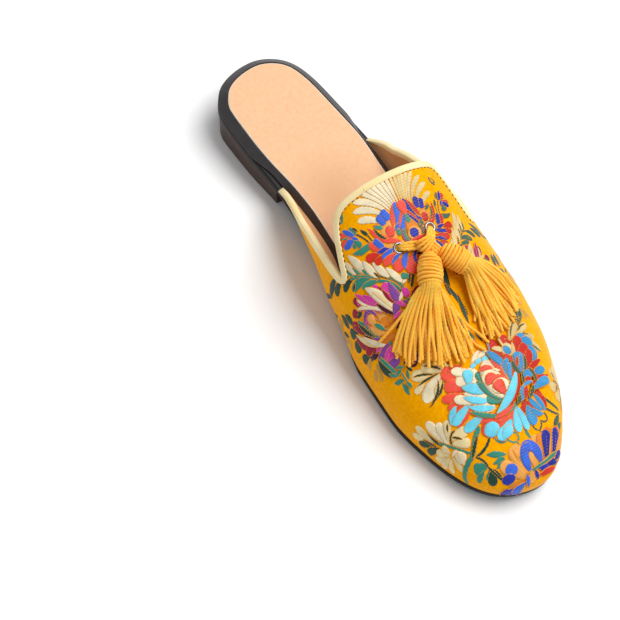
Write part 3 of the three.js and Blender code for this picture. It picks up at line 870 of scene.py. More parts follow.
    def sole_edge(self, turn: Array, inset: Array, step: float = 0.002) -> Array:
        """Sole outline moved inwards.

        Args:
            turn: station angle, negative on the medial side.
            inset: how far it is moved.
            step: how far apart the points that give its direction lie.

        Returns:
            Places across and along the frame.
        """
        def plain(way: Array) -> Array:
            """The outline where it is, for angles that may run past its ends.

            Args:
                way: station angles.

            Returns:
                Places across and along the frame.
            """
            wrapped = np.where(np.abs(way) > np.pi, way - np.sign(way) * 2 * np.pi, way)
            half = self.by_side("half", wrapped, np.abs(wrapped))
            return np.stack([
                self.axis_shift + np.sign(wrapped) * half,
                self.length * (0.5 - share_of(np.abs(wrapped)))], axis=-1)

        way = unit(plain(turn + step) - plain(turn - step))
        square = np.stack([-way[..., 1], way[..., 0]], axis=-1)
        return plain(turn) - square * np.asarray(inset, float)[..., None]


LAST = Last()
# Rim share of a level that keeps to the sole edge and not to the rim
OFF_RIM = -1.0


def off_rim(*levels: tuple[float, float]) -> list[tuple[float, float, float]]:
    """Levels by inset and height alone, off the rim."""
    return [(inset, height, OFF_RIM) for inset, height in levels]


@dataclass
class Bottom:
    """Everything under the foot, each piece lofted through levels of the sole outline.

    Attributes:
        rim_lip: upright part of the footbed's edge.
        bed_draws: how far the footbed's edge draws in, and the shares of the length where it starts
            and ends.
        rim_bevel: how far the top of the rim lies in from the sole edge at the heel.
        rim_draw: how far the top of the rim draws in past that, and where it starts and ends.
        cut_slopes: least and most upward normal of a face on the sock's cut edge.
        floor_step: height of a floor piece's second level.
    """

    sole_thick: float = 3.7
    bed_thick: float = 3.7
    sock_thick: float = 1.2
    seat_gap: float = 0.3
    rim_lip: float = 0.6
    bed_draws: tuple = ((2.7, 0.18, 0.25), (2.6, 0.25, 0.41))
    rim_bevel: float = 4.6
    rim_draw: tuple[float, float, float] = (3.0, 0.22, 0.36)
    heel_length: float = 69.0
    heel_taper: float = 2.4
    cut_slopes: tuple[float, float] = (0.2, 0.93)
    around: int = 240
    floor_step: float = 0.02

    def edge_inset(self, turn: Array, bevel: Array) -> Array:
        """How far in from the sole edge a place on the rim lies.

        Args:
            turn: station angle.
            bevel: share of the way from the footbed's edge to the top of the rim, or under 0 off it.

        Returns:
            The inset in millimetres.
        """
        share = share_of(np.abs(turn))
        outer = sum(drawn(share, *draw) for draw in self.bed_draws)
        inner = self.rim_bevel + drawn(share, *self.rim_draw)
        return np.where(bevel < 0, 0.0, outer + (inner - outer) * bevel)

    def loft(
        self, name: str, levels: Sequence[tuple[float, float, float]], last: float = math.pi,
        on_floor: bool = False,
    ) -> bpy.types.Object:
        """Closed piece through levels of the sole outline.

        Args:
            name: the piece's name.
            levels: inset, height over the sole's underside and share of the rim, from the lowest up.
            last: station angle where the piece ends.
            on_floor: whether the lowest two levels lie flat on the floor.

        Returns:
            The new object.
        """
        insets, heights, bevels = (np.array(column) for column in zip(*levels))

        def place(across: Array, along: Array) -> Array:
            """Points of the spine, the levels and the spine again.

            Args:
                across: share of the way round the outline.
                along: share of the way up the rows.

            Returns:
                Points in millimetres.
            """
            turn = (2 * across - 1) * last
            row = np.rint(along * (len(levels) + 1)).astype(int) - 1
            spine = (row < 0) | (row == len(levels))
            level = np.clip(row, 0, len(levels) - 1)
            inset = insets[level] + self.edge_inset(turn, bevels[level])
            edge, mirror = LAST.sole_edge(turn, inset), LAST.sole_edge(-turn, inset)
            flat = np.where(spine[:, None], (edge + mirror) / 2, edge)
            over = LAST.underside(flat[:, 1]) + heights[level]
            height = np.where(on_floor & (level < 2), self.floor_step * level, over)
            return np.column_stack([flat, height])

        shape = draped_grid(self.around, len(levels) + 1, place, merge=0.02)
        rim = [edge for edge in shape.edges if edge.is_boundary]
        if rim:
            bmesh.ops.holes_fill(shape, edges=rim)
        bmesh.ops.recalc_face_normals(shape, faces=shape.faces)
        return object_of(name, shape, sharp=28.0)

    def build(self) -> None:
        """Outsole, heel, footbed and sock, each from the lowest level up."""
        thick, base = self.sole_thick, self.sole_thick + self.seat_gap
        top, seat = base + self.bed_thick, self.seat_gap
        outsole = self.loft("outsole_leather", off_rim(
            (1.0, 0.0), (0.5, 0.12), (0.15, 0.45), (0.0, 1.0), (0.0, thick - 0.8), (0.1, thick - 0.5),
            (0.7, thick)))
        settle(outsole, Finish.SOLE, "outsole_leather", "outsole")
        front = float(angle_of(self.heel_length / LAST.length))
        heel = self.loft("heel_block", off_rim(
            (self.heel_taper + 0.5, 0.0), (self.heel_taper, 0.0), (0.8, -1.7), (0.75, -1.0), (0.9, -0.4),
            (1.3, -0.3)), last=front, on_floor=True)
        settle(heel, Finish.HEEL, "heel_block", "heel")
        footbed = self.loft("footbed_rim", (
            (0.3, base, 0.0), (0.0, base + 0.2, 0.0), (0.0, base + self.rim_lip, 0.0),
            (0.0, base + self.rim_lip + 0.4, 0.07), (0.0, top - 0.5, 0.8), (0.0, top - 0.1, 0.92),
            (0.0, top - 0.05, 1.0), (0.0, top - self.sock_thick - seat, 1.0)))
        settle(footbed, Finish.RIM, "footbed_rim", "footbed")
        sock = self.loft("sock_lining", (
            (seat, top - self.sock_thick, 1.0), (seat, top - 0.35, 1.0), (seat + 0.5, top, 1.0)))
        settle(sock, Finish.SOCK, "sock_leather", "sock")
        # The sock's bevelled edge takes the pale cut-edge colour, which is partly a painted highlight.
        sock.data.materials.append(material_of(Finish.CUT_EDGE))
        low, high = self.cut_slopes
        for face in sock.data.polygons:
            face.material_index = int(low < face.normal.z < high)


@dataclass
class Upper:
    """Brocade vamp with its lining.

    Attributes:
        wall: thickness of brocade, interlining and lining together.
        creases: girth and share at both ends of a soft trough, its width and depth in millimetres.
        girth_length: millimetres of a girth of 1, for the creases.
        foot_rise: girth over the sole edge from which the lining turns in, and the most of it by the
            topline's own.
        foot_start: share of the length from the quarter's end to the start of that turn.
        foot_end: how far in from the footbed's edge it ends, and how far over its underside.
        quarter_rows: rows of the topline's table below the notch.
    """

    wall: float = 1.8
    columns: int = 300
    rows: int = 114
    creases: tuple = (
        (-0.62, 0.640, -0.40, 0.672, 7.0, 0.35),
        (-0.70, 0.700, -0.50, 0.722, 6.0, 0.30),
        (0.45, 0.640, 0.68, 0.628, 7.0, 0.30),
        (-0.30, 0.655, 0.20, 0.668, 12.0, 0.30))
    girth_length: float = 80.0
    foot_rise: tuple[float, float] = (0.2, 0.8)
    foot_start: float = 0.004
    foot_gap: float = 0.03
    foot_end: tuple[float, float] = (0.4, 0.25)
    foot_cells: tuple[int, int] = (120, 6)
    quarter_rows: int = 5

    def sink(self, girth: Array, share: Array) -> Array:
        """Depth of the creases.

        Args:
            girth: place round the section.
            share: share of the length.

        Returns:
            Millimetres at each place.
        """
        scale = np.array([self.girth_length, LAST.length])
        depth = np.zeros_like(girth)
        for *ends, width, deep in self.creases:
            a, b = np.array(ends[:2]) * scale, np.array(ends[2:]) * scale
            here = np.stack([girth, share], axis=-1) * scale - a
            along = np.clip(here @ (b - a) / ((b - a) @ (b - a)), 0, 1)
            off = np.linalg.norm(here - along[..., None] * (b - a), axis=-1)
            depth += deep * np.exp(-(off / (0.5 * width)) ** 2)
        return depth

    def place(self, across: Array, along: Array) -> Array:
        """Outer face of the vamp, creases and all.

        Args:
            across: share of the way from the medial sole edge to the lateral one.
            along: share of the way from the toe tip to the topline.

        Returns:
            Points in millimetres.
        """
        girth, angle = LAST.upper_place(across, along)
        out = LAST.normal(girth, angle)
        return LAST.point(girth, angle) - out * self.sink(girth, share_of(angle))[:, None]

    def build(self) -> None:
        """The vamp's two faces, its cut edges and the foot of its lining."""
        shape = draped_grid(self.columns, self.rows, self.place, merge=0.01)
        layer = shape.loops.layers.uv.active
        for face in shape.faces:
            for loop in face.loops:
                loop[layer].uv = loop.vert.co.xy
        if sum(face.normal.z * face.calc_area() for face in shape.faces) < 0:
            bmesh.ops.reverse_faces(shape, faces=shape.faces)
        vamp = object_of("brocade_vamp", shape)
        settle(vamp, Finish.GROUND, "brocade", "upper")
        vamp.data.materials.append(material_of(Finish.LINING))
        solid = vamp.modifiers.new("wall", "SOLIDIFY")
        solid.thickness = self.wall * MM
        solid.offset = -1.0
        solid.material_offset = 1
        solid.material_offset_rim = 1
        for side in (-1.0, 1.0):
            self.turn_in(side)

    def turn_in(self, side: float) -> None:
        """Foot of the lining, turned in under the footbed's rim from the quarter's end to the toe tip.

        Args:
            side: -1 for the medial half, 1 for the lateral one.
        """
        rises, shares = zip(*LAST.topline[int(side > 0)][:self.quarter_rows])
        start = angle_of(shares[0] + self.foot_start)
        bottom = Bottom()
        most, part = self.foot_rise
        inset, lift = self.foot_end

        def place(across: Array, along: Array) -> Array:
            """Lining from the wall to the rim.

            Args:
                across: share of the way from the quarter's end to the toe tip.
                along: share of the way from the wall to the rim.

            Returns:
                Points in millimetres.
            """
            angle = start + (np.pi - start) * across
            girth = side * (1 - np.minimum(most, part * np.interp(share_of(angle), shares, rises)))
            wall = LAST.point(girth, angle) - LAST.normal(girth, angle) * (self.wall + self.foot_gap)
            edge = LAST.sole_edge(side * angle, bottom.edge_inset(angle, np.zeros_like(angle)) + inset)
            rim = np.column_stack([edge, LAST.underside(edge[:, 1]) + LAST.bed_base + lift])
            return wall + (rim - wall) * along[:, None]

        shape = draped_grid(*self.foot_cells, place)
        foot = object_of("lining_foot_medial" if side < 0 else "lining_foot_lateral", shape)
        settle(foot, Finish.LINING, "sock_leather")


class Thread(Enum):
    """Silks of the woven figures: how each looks on the lit side of the vamp and on the shaded one."""

    IVORY = ("#FCEDC6", "#E8CF92")
    STRAW = ("#F8E2A8", "#E2C582")
    CORAL = ("#FA5643", "#D2382A")
    RED = ("#E23527", "#CE2C1E")
    CRIMSON = ("#A31334", "#8E1233")
    BLUE = ("#4170E8", "#2C36A6")
    NAVY = ("#2C3CB4", "#28309A")
    SKY = ("#74E0FA", "#3C9AD4")
    TEAL = ("#3E9580", "#4A6E5A")
    PINE = ("#254A3C", "#40604C")
    MAGENTA = ("#EA42B2", "#B0306E")
    PURPLE = ("#8C4CA6", "#6E3A78")
    WINE = ("#4E1734", "#4E1734")
    ORANGE = ("#EC8A26", "#E07A1E")
    APRICOT = ("#FBB055", "#F2A044")
    TONAL = ("#D8A440", "#D8A440")


class Cut(Enum):
    """Outlines of a woven stroke."""

    LEAF = "leaf"
    PETAL = "petal"
    OVAL = "oval"
    STEM = "stem"

    def half_width(self, along: Array) -> Array:
        """Half width of the outline, by its widest.

        Args:
            along: share of the way from root to tip.

        Returns:
            The half width there, never quite 0.
        """
        if self is Cut.LEAF:
            wide = np.sin(np.pi * along) ** 0.65
        elif self is Cut.PETAL:
            wide = 1.36 * (along + 0.06) ** 0.6 * np.sqrt(np.maximum(1 - along ** 5, 0))
        elif self is Cut.OVAL:
            wide = np.sqrt(np.maximum(1 - (2 * along - 1) ** 2, 0))
        else:
            wide = np.minimum(1, 0.35 + 6 * np.minimum(along, 1 - along))
        return np.maximum(wide, 0.06)


# Corners across a stroke, millimetres from one step along it to the next, and its fewest and most steps
PLACES_ACROSS = 5
STEP = 0.9
STEPS = (7, 18)
# Silks whose wide petals show a vein of the ground, how wide those are, where it runs and its margin
VEINED = (Thread.SKY, Thread.BLUE, Thread.NAVY)
VEIN_WIDTH = 4.0
VEIN_SPAN = (0.3, 0.7)
VEIN_MARGIN = 0.2
# Strokes whose two ends add up to more than this lie past the ridge, on the shaded side
SHADE_FROM = 7.0


@dataclass(frozen=True)
class Stroke:
    """One woven petal, leaf or stem.

    Attributes:
        thread: its silk.
        cut: its outline.
        root: millimetres across the vamp from its ridge, then percent of the length from the heel.
        tip: the same.
        width: its widest, in millimetres.
        bow: millimetres that its middle stands off to the right, on the way from root to tip.
        shaded: whether it lies on the side away from the light.
    """

    thread: Thread
    cut: Cut
    root: tuple[float, float]
    tip: tuple[float, float]
    width: float
    bow: float
    shaded: bool = False

    @classmethod
    def read(cls, chart: str) -> list["Stroke"]:
        """Strokes of a chart.

        Args:
            chart: on each line a thread and a cut, then root, tip, width and any bow of each stroke.

        Returns:
            The strokes in the chart's order.
        """
        strokes = []
        for line in chart.strip().splitlines():
            thread, cut, places = line.split(maxsplit=2)
            for numbers in places.split(","):
                x0, y0, x1, y1, width, *bow = map(float, numbers.split())
                strokes.append(cls(
                    Thread[thread.upper()], Cut(cut), (x0, y0), (x1, y1), width, sum(bow),
                    x0 + x1 > SHADE_FROM))
        return strokes

    def turned(
        self, axis: float, close: tuple[float, float, float], drop: tuple[float, float],
    ) -> "Stroke":
        """The stroke on the other side of an axis.

        Args:
            axis: where the axis is across the vamp.
            close: distance from the axis there by the one here, its loss by the millimetre, and its least.
            drop: percent nearer the toe there, by the millimetre and by the square millimetre.

        Returns:
            The mirrored stroke.
        """
        ends = []
        for across, along in (self.root, self.tip):
            off = axis - across
            near = max(close[0] - close[1] * off, close[2])
            ends.append((axis + off * near, along + drop[0] * off + drop[1] * off * off))
        width = self.width * (close[0] + close[2]) / 2
        # The mirrored stroke lies on the lateral side, away from the light, so it takes its silk's painted
        # shade colour.
        return replace(self, root=ends[0], tip=ends[1], width=width, bow=-self.bow, shaded=True)

    def patch(self) -> Array:
        """Outline of the stroke.

        Returns:
            Places across and along the chart in millimetres, from left to right at each step.
        """
        scale = np.array([1.0, 0.01 * LAST.length])
        root, tip = np.array(self.root) * scale, np.array(self.tip) * scale
        span = np.linalg.norm(tip - root)
        square = np.array([root[1] - tip[1], tip[0] - root[0]]) / span
        steps = int(np.clip(4 + span / STEP, *STEPS))
        along = ((1 - np.cos(np.pi * np.linspace(0, 1, steps))) / 2)[:, None]
        spine = root + (tip - root) * along + 4 * self.bow * along * (1 - along) * square
        way = (tip - root) + 4 * self.bow * (1 - 2 * along) * square
        side = unit(np.stack([-way[:, 1], way[:, 0]], axis=1))
        reach = 0.5 * self.width * self.cut.half_width(along)
        return spine[:, None] + (side * reach)[:, None] * np.linspace(-1, 1, PLACES_ACROSS)[:, None]

    def margins(self, rows: Array) -> Array:
        """How far each place of the outline lies from the ground, with a vein in wide blue petals.

        Args:
            rows: the outline.

        Returns:
            Millimetres at each place.
        """
        reach = np.linalg.norm(rows[:, :1] - rows[:, -1:], axis=-1) / 2
        margin = reach * (1 - np.abs(np.linspace(-1, 1, PLACES_ACROSS)))
        if self.thread in VEINED and self.cut is Cut.PETAL and self.width > VEIN_WIDTH:
            along = np.linspace(0, 1, len(rows))
            margin[(along > VEIN_SPAN[0]) & (along < VEIN_SPAN[1]), PLACES_ACROSS // 2] = VEIN_MARGIN
        return margin


def crossing(mine: Array, other: Array) -> bool:
    """Whether two strokes lie over each other.

    Args:
        mine: one outline.
        other: the other.

    Returns:
        True where their middles come nearer than their half widths.
    """
    middle = PLACES_ACROSS // 2
    gap = np.linalg.norm(mine[:, None, middle] - other[None, :, middle], axis=-1)
    reach = [np.linalg.norm(rows[:, 0] - rows[:, middle], axis=-1) for rows in (mine, other)]
    return bool((gap < reach[0][:, None] + reach[1][None]).any())


# Fan of rays and lotus on the crown of the pattern, one half.
LOTUS_CHART = """
ivory petal -12.5 50.6 -23.2 47.9 3.2 1, -10.4 49.8 -23.4 46.2 3.2 1.5, -8.8 49.4 -21.4 44.9 3 1.6
ivory petal -7.6 49.2 -17.6 44 2.7 1.3, -6.6 49 -14.4 43.8 2.5 1, -5.6 48.9 -11.4 43.8 2.4 0.7
ivory petal -4.6 48.8 -8.6 43.8 2.3 0.4, -3.6 48.8 -5.8 43.8 2.1 0.2, -2.5 48.8 -3.1 43.8 2
apricot oval -16.2 52 -7.8 52.2 9.9
apricot leaf -17 53.8 -7 54.6 2.8 0.6
coral leaf -20.4 49.7 -8.8 54.3 3.3 2, -18.4 49.9 -13.8 50.9 1.3 -0.4
teal leaf -18 50.2 -14 51.2 2.2 -0.3
pine leaf -17.9 50.2 -14.2 53 1.6 1
coral oval -14 52.2 -9.7 52.1 5.2
blue stem -14.2 48.9 -12.3 50.7 3.7, -11.5 48.5 -9.7 50.4 3.7
coral leaf -4.8 48.3 -9.8 51.9 2.5 0.3
blue petal -8.6 52.3 -4.2 48.3 3.3 1.1
blue leaf -9.8 52.4 -5.8 51.4 2 0.2
coral stem -1.8 49.9 -6.4 52.3 2 0.4
blue petal -2.4 50.6 -6.5 53 2.9 -0.3
teal oval -9.4 52.9 -7.2 52.9 3.2
purple stem -6.1 52.9 -6.5 54.9 1.3 0.9
teal stem -5.2 52.8 -5.5 55 1.5 0.9
coral petal -19.6 54.4 -22.8 51.9 3.3
blue stem -20.3 51.9 -17.9 53.9 3
red petal -20.6 54.3 -27.2 53.8 4.1, -18.6 54.9 -24.4 55.3 3.1
navy leaf -15.4 54.5 -21.6 54 2.3 0.3
blue petal -14.2 54.7 -20.4 55.4 3.4
coral petal -13 55.6 -21.2 56.2 3.7, -9 57.2 -17.9 57.8 5.3
blue leaf -11 56 -18 56.9 2.1 0.6
coral petal -5.4 57 -12.8 59.4 6.4 -0.6
blue leaf -8.6 56.4 -13.3 58.7 3.1 1.1
navy leaf -4.4 56.6 -7.5 58.8 2.3 0.8
red leaf -6.6 58 -0.8 57 2.8
wine stem -5.6 57.4 -0.2 57.7 1.4
"""

# Middle of the lotus, on the crown's axis.
AXIS_CHART = """
coral petal -1.8 50.8 -1.8 48.4 4.4
orange petal -1.8 51.4 -1.8 54 6
teal petal -1.8 50.7 -1.8 52.3 2.5
apricot oval -5.2 54.2 1.6 54.2 6
navy oval -4.1 54.1 0.3 54.1 4.7
red leaf -7.4 55.2 3.8 55.2 2.1
"""

# Beside the lotus, one half: bud, spray of blades and side peony.
HALF_CHART = """
teal stem -28.8 44.8 -30.8 46.3 1.6 -0.9, -30.9 46.3 -32.8 45.5 1.5 0.5
pine stem -32.4 45.4 -30.2 45 1
coral petal -28.6 49.6 -34.2 47.6 2.8, -30.2 49.3 -35.8 49.2 2.6
teal leaf -33.8 48.3 -30 49.2 1.1
teal petal -26 49.7 -28.3 47.8 2.5
pine leaf -27.2 48 -25 49.3 1.3 -0.2
blue leaf -31.8 47.3 -27.2 49.5 2.5
blue oval -34.5 50 -28.7 49.8 3.5
blue leaf -29 49.2 -26.2 50.6 1.8
teal oval -30.3 50.9 -28.1 50.7 2.8
teal petal -28.8 50 -26.2 51.5 2.8
pine stem -26.4 49.3 -22.4 52 1 -0.3
pine leaf -23.9 49.2 -21.2 51 2
pine stem -22 50.4 -20.9 52 0.9
teal leaf -31.8 51.5 -20.6 51.9 3.2 1.5
pine leaf -46.2 52.2 -59.8 53.3 3.9 0.6, -56.6 53.3 -71.4 50.8 2.8 0.3, -61.2 56.1 -72 54.5 3
tonal leaf -59.6 58.6 -71 57 4, -57.6 61.2 -71 59 4.2
pine petal -44.6 53.5 -52.2 54.1 4.3 0.5, -37 54.7 -45.2 55.1 3.5 0.8
teal leaf -39 54.4 -31.8 55.4 2.1 -0.3
teal petal -28.2 56.6 -40.4 56.1 3.9 0.9
pine leaf -40.4 56.3 -37.2 55.3 1.6 0.3
teal petal -25 58.1 -35.2 57 2.7 0.7
teal stem -35 54.8 -27.2 57.1 1.1 -0.3
pine stem -29 56.2 -21.4 58.7 1.1 -0.4
teal stem -27.8 57.6 -19.4 61.5 1.6 -1.6, -23.2 57.8 -17.8 61.4 1.4 -1
straw leaf -39.6 52.8 -37.4 54.2 1.3
teal leaf -39 52.5 -36.4 54.7 1.6
ivory leaf -38.2 51.3 -35 54.6 2.8 -0.3
teal leaf -35 53.2 -32.8 55.3 1.5
ivory leaf -34.4 51.1 -29.4 56.1 4 -0.2
teal leaf -31.2 54.5 -29.2 56.1 1.8
ivory leaf -29 53.5 -26 57.4 3.6 0.3
pine leaf -26.8 56.1 -25.2 57.7 1.2
ivory leaf -25.4 54.7 -21.4 58.4 3.6 0.2, -21 56.6 -16.2 60.7 3.2 0.3, -17.6 60.5 -14.8 59.9 1.9
teal petal -12.8 60.1 -16.6 59.2 3
pine stem -14.6 61.7 -10.8 59.9 1.5, -14.9 60.9 -12 59.4 1.2
pine leaf -56 56.9 -53.4 60.1 4.2 -0.3, -52 57.7 -49.4 60.5 3.6 -0.5
pine petal -48 61.9 -54.8 61.2 5 0.5
pine oval -56 63.9 -50.4 63.2 5.8
pine petal -46.4 67.2 -54.4 65.6 4.6 -0.4
pine leaf -56.8 60.9 -61.8 59 2.4
tonal petal -47 68.2 -49.6 71.2 3.4, -48.6 66.8 -53.8 67.8 3.2, -49.6 68.8 -54.2 70.2 3.2
tonal petal -58 58.2 -62 57 3.2, -57 61.4 -62 62.6 3.2
crimson petal -40.4 59.2 -42 57.2 3.2
magenta leaf -40.2 59.3 -40.6 57.8 1.5
crimson petal -42.8 60.4 -46 58.6 4, -44 61.9 -50 60.2 4
crimson leaf -49.2 60.3 -43.2 63.6 2.9 0.4, -50.8 62 -46.2 65.7 4.8 0.7
crimson petal -43.2 66.1 -49.8 65.6 4
crimson leaf -46.8 66.6 -39.4 66.9 2.5
magenta leaf -43.8 66.8 -39 66.7 2.1
wine petal -43 67.4 -47.3 67 2.8
straw leaf -50.2 61.8 -39.6 66.7 2.8 1.1
purple leaf -45.6 63.1 -38 65.8 3.8 0.5
wine leaf -45.8 63.1 -41 65.6 2.6 0.3
ivory leaf -46.4 63.1 -36.6 67.3 2.6 1.1
pine oval -44.4 60.2 -40.6 59.8 2.6
teal leaf -44.8 60.4 -38.2 65.4 3.6 0.6
pine leaf -45.4 60.7 -40.2 64.8 2.2 0.7
orange leaf -38.6 66 -30 66.9 3.8
wine leaf -30.2 66.2 -22.4 65 1.9
apricot petal -33.2 65.4 -32.6 61.6 5.2
orange petal -27.4 64.8 -34.8 63.7 4.6
orange oval -31.6 64.2 -27.4 64.2 3.6
apricot leaf -40.2 62.9 -34.6 65.6 3.8 0.4
purple leaf -42.6 62.6 -34.2 62.6 2.3 -5
magenta leaf -41.2 63.4 -35.2 63 1.9 -4.4
apricot petal -37.6 63.5 -37.9 61.3 3.8
teal leaf -37.7 63 -34.2 65.2 2.4 -0.3
magenta leaf -41.4 59.7 -31.8 62.6 2 -1.7
purple leaf -38.6 60.1 -34.2 62.4 1.7 -0.5
ivory leaf -42.6 59.1 -28 63.8 2.9 -2.3, -40 57.7 -36.2 60 1.7 0.2
magenta leaf -39.6 56.8 -30.6 61.4 3 0.4, -36.8 57.8 -30 61.6 2.6 -0.3
wine leaf -32.2 60.5 -26.4 64.2 2.2 0.5
magenta petal -27 61.3 -29.7 57.8 3.4 -0.3
crimson leaf -27 61.6 -27.9 58.2 1.4
ivory leaf -33.6 57.3 -25.9 64 5 -1
straw leaf -31.6 58.6 -26.8 63 1.5 -0.6
magenta petal -24.2 61.6 -25.3 58.6 4.2
crimson leaf -26.9 59.2 -24.2 62.8 2 0.4
purple petal -27.4 64.2 -23.2 62.5 3.8
magenta leaf -25.6 60.2 -20.4 64.2 2.2 0.5, -28.6 64.5 -23.4 64.1 1.7
purple petal -23 59 -22.7 62.5 4
purple leaf -21.2 62.8 -19.2 63.7 1.7
ivory leaf -22.6 62.5 -19.6 61.4 1.9 0.5
magenta oval -19.8 62 -16.6 61.9 4.9
teal oval -19.3 63.2 -17.9 63.1 1.7
crimson leaf -16.8 63.2 -11.6 62.1 2.6
purple leaf -44.6 68 -35.2 67.1 3.2 0.5
teal oval -35.8 67.4 -34.2 67.3 1.8
magenta petal -35.4 67.7 -39.2 69.8 5
magenta leaf -41.6 69.3 -35.2 67.8 2.3 -0.6
purple oval -41.4 70.3 -34.4 70.4 4.3
teal leaf -42.6 67.9 -38.8 71.8 3.8 1.5
pine leaf -44.2 68 -40 72.4 3.6 1.7
purple petal -25 72.6 -32.2 70.8 5
wine stem -33.8 71.2 -31.6 72.6 1.6, -31.8 72.6 -28.2 72.6 1.4 0.6
teal leaf -43 71.1 -38.4 72.6 2 0.4, -41 72.4 -36 72 2, -38.4 71.1 -34.6 72 1.8
teal stem -37 72.3 -36.2 75 1.1
teal leaf -36.9 74.2 -35.6 75.6 2.1, -37.8 73.7 -43.3 73 2.6, -38.8 76.3 -39.3 73.9 2.6
teal leaf -34.3 72.6 -35.6 74.1 2
pine leaf -33.9 72.1 -32.1 73.4 1.8
"""

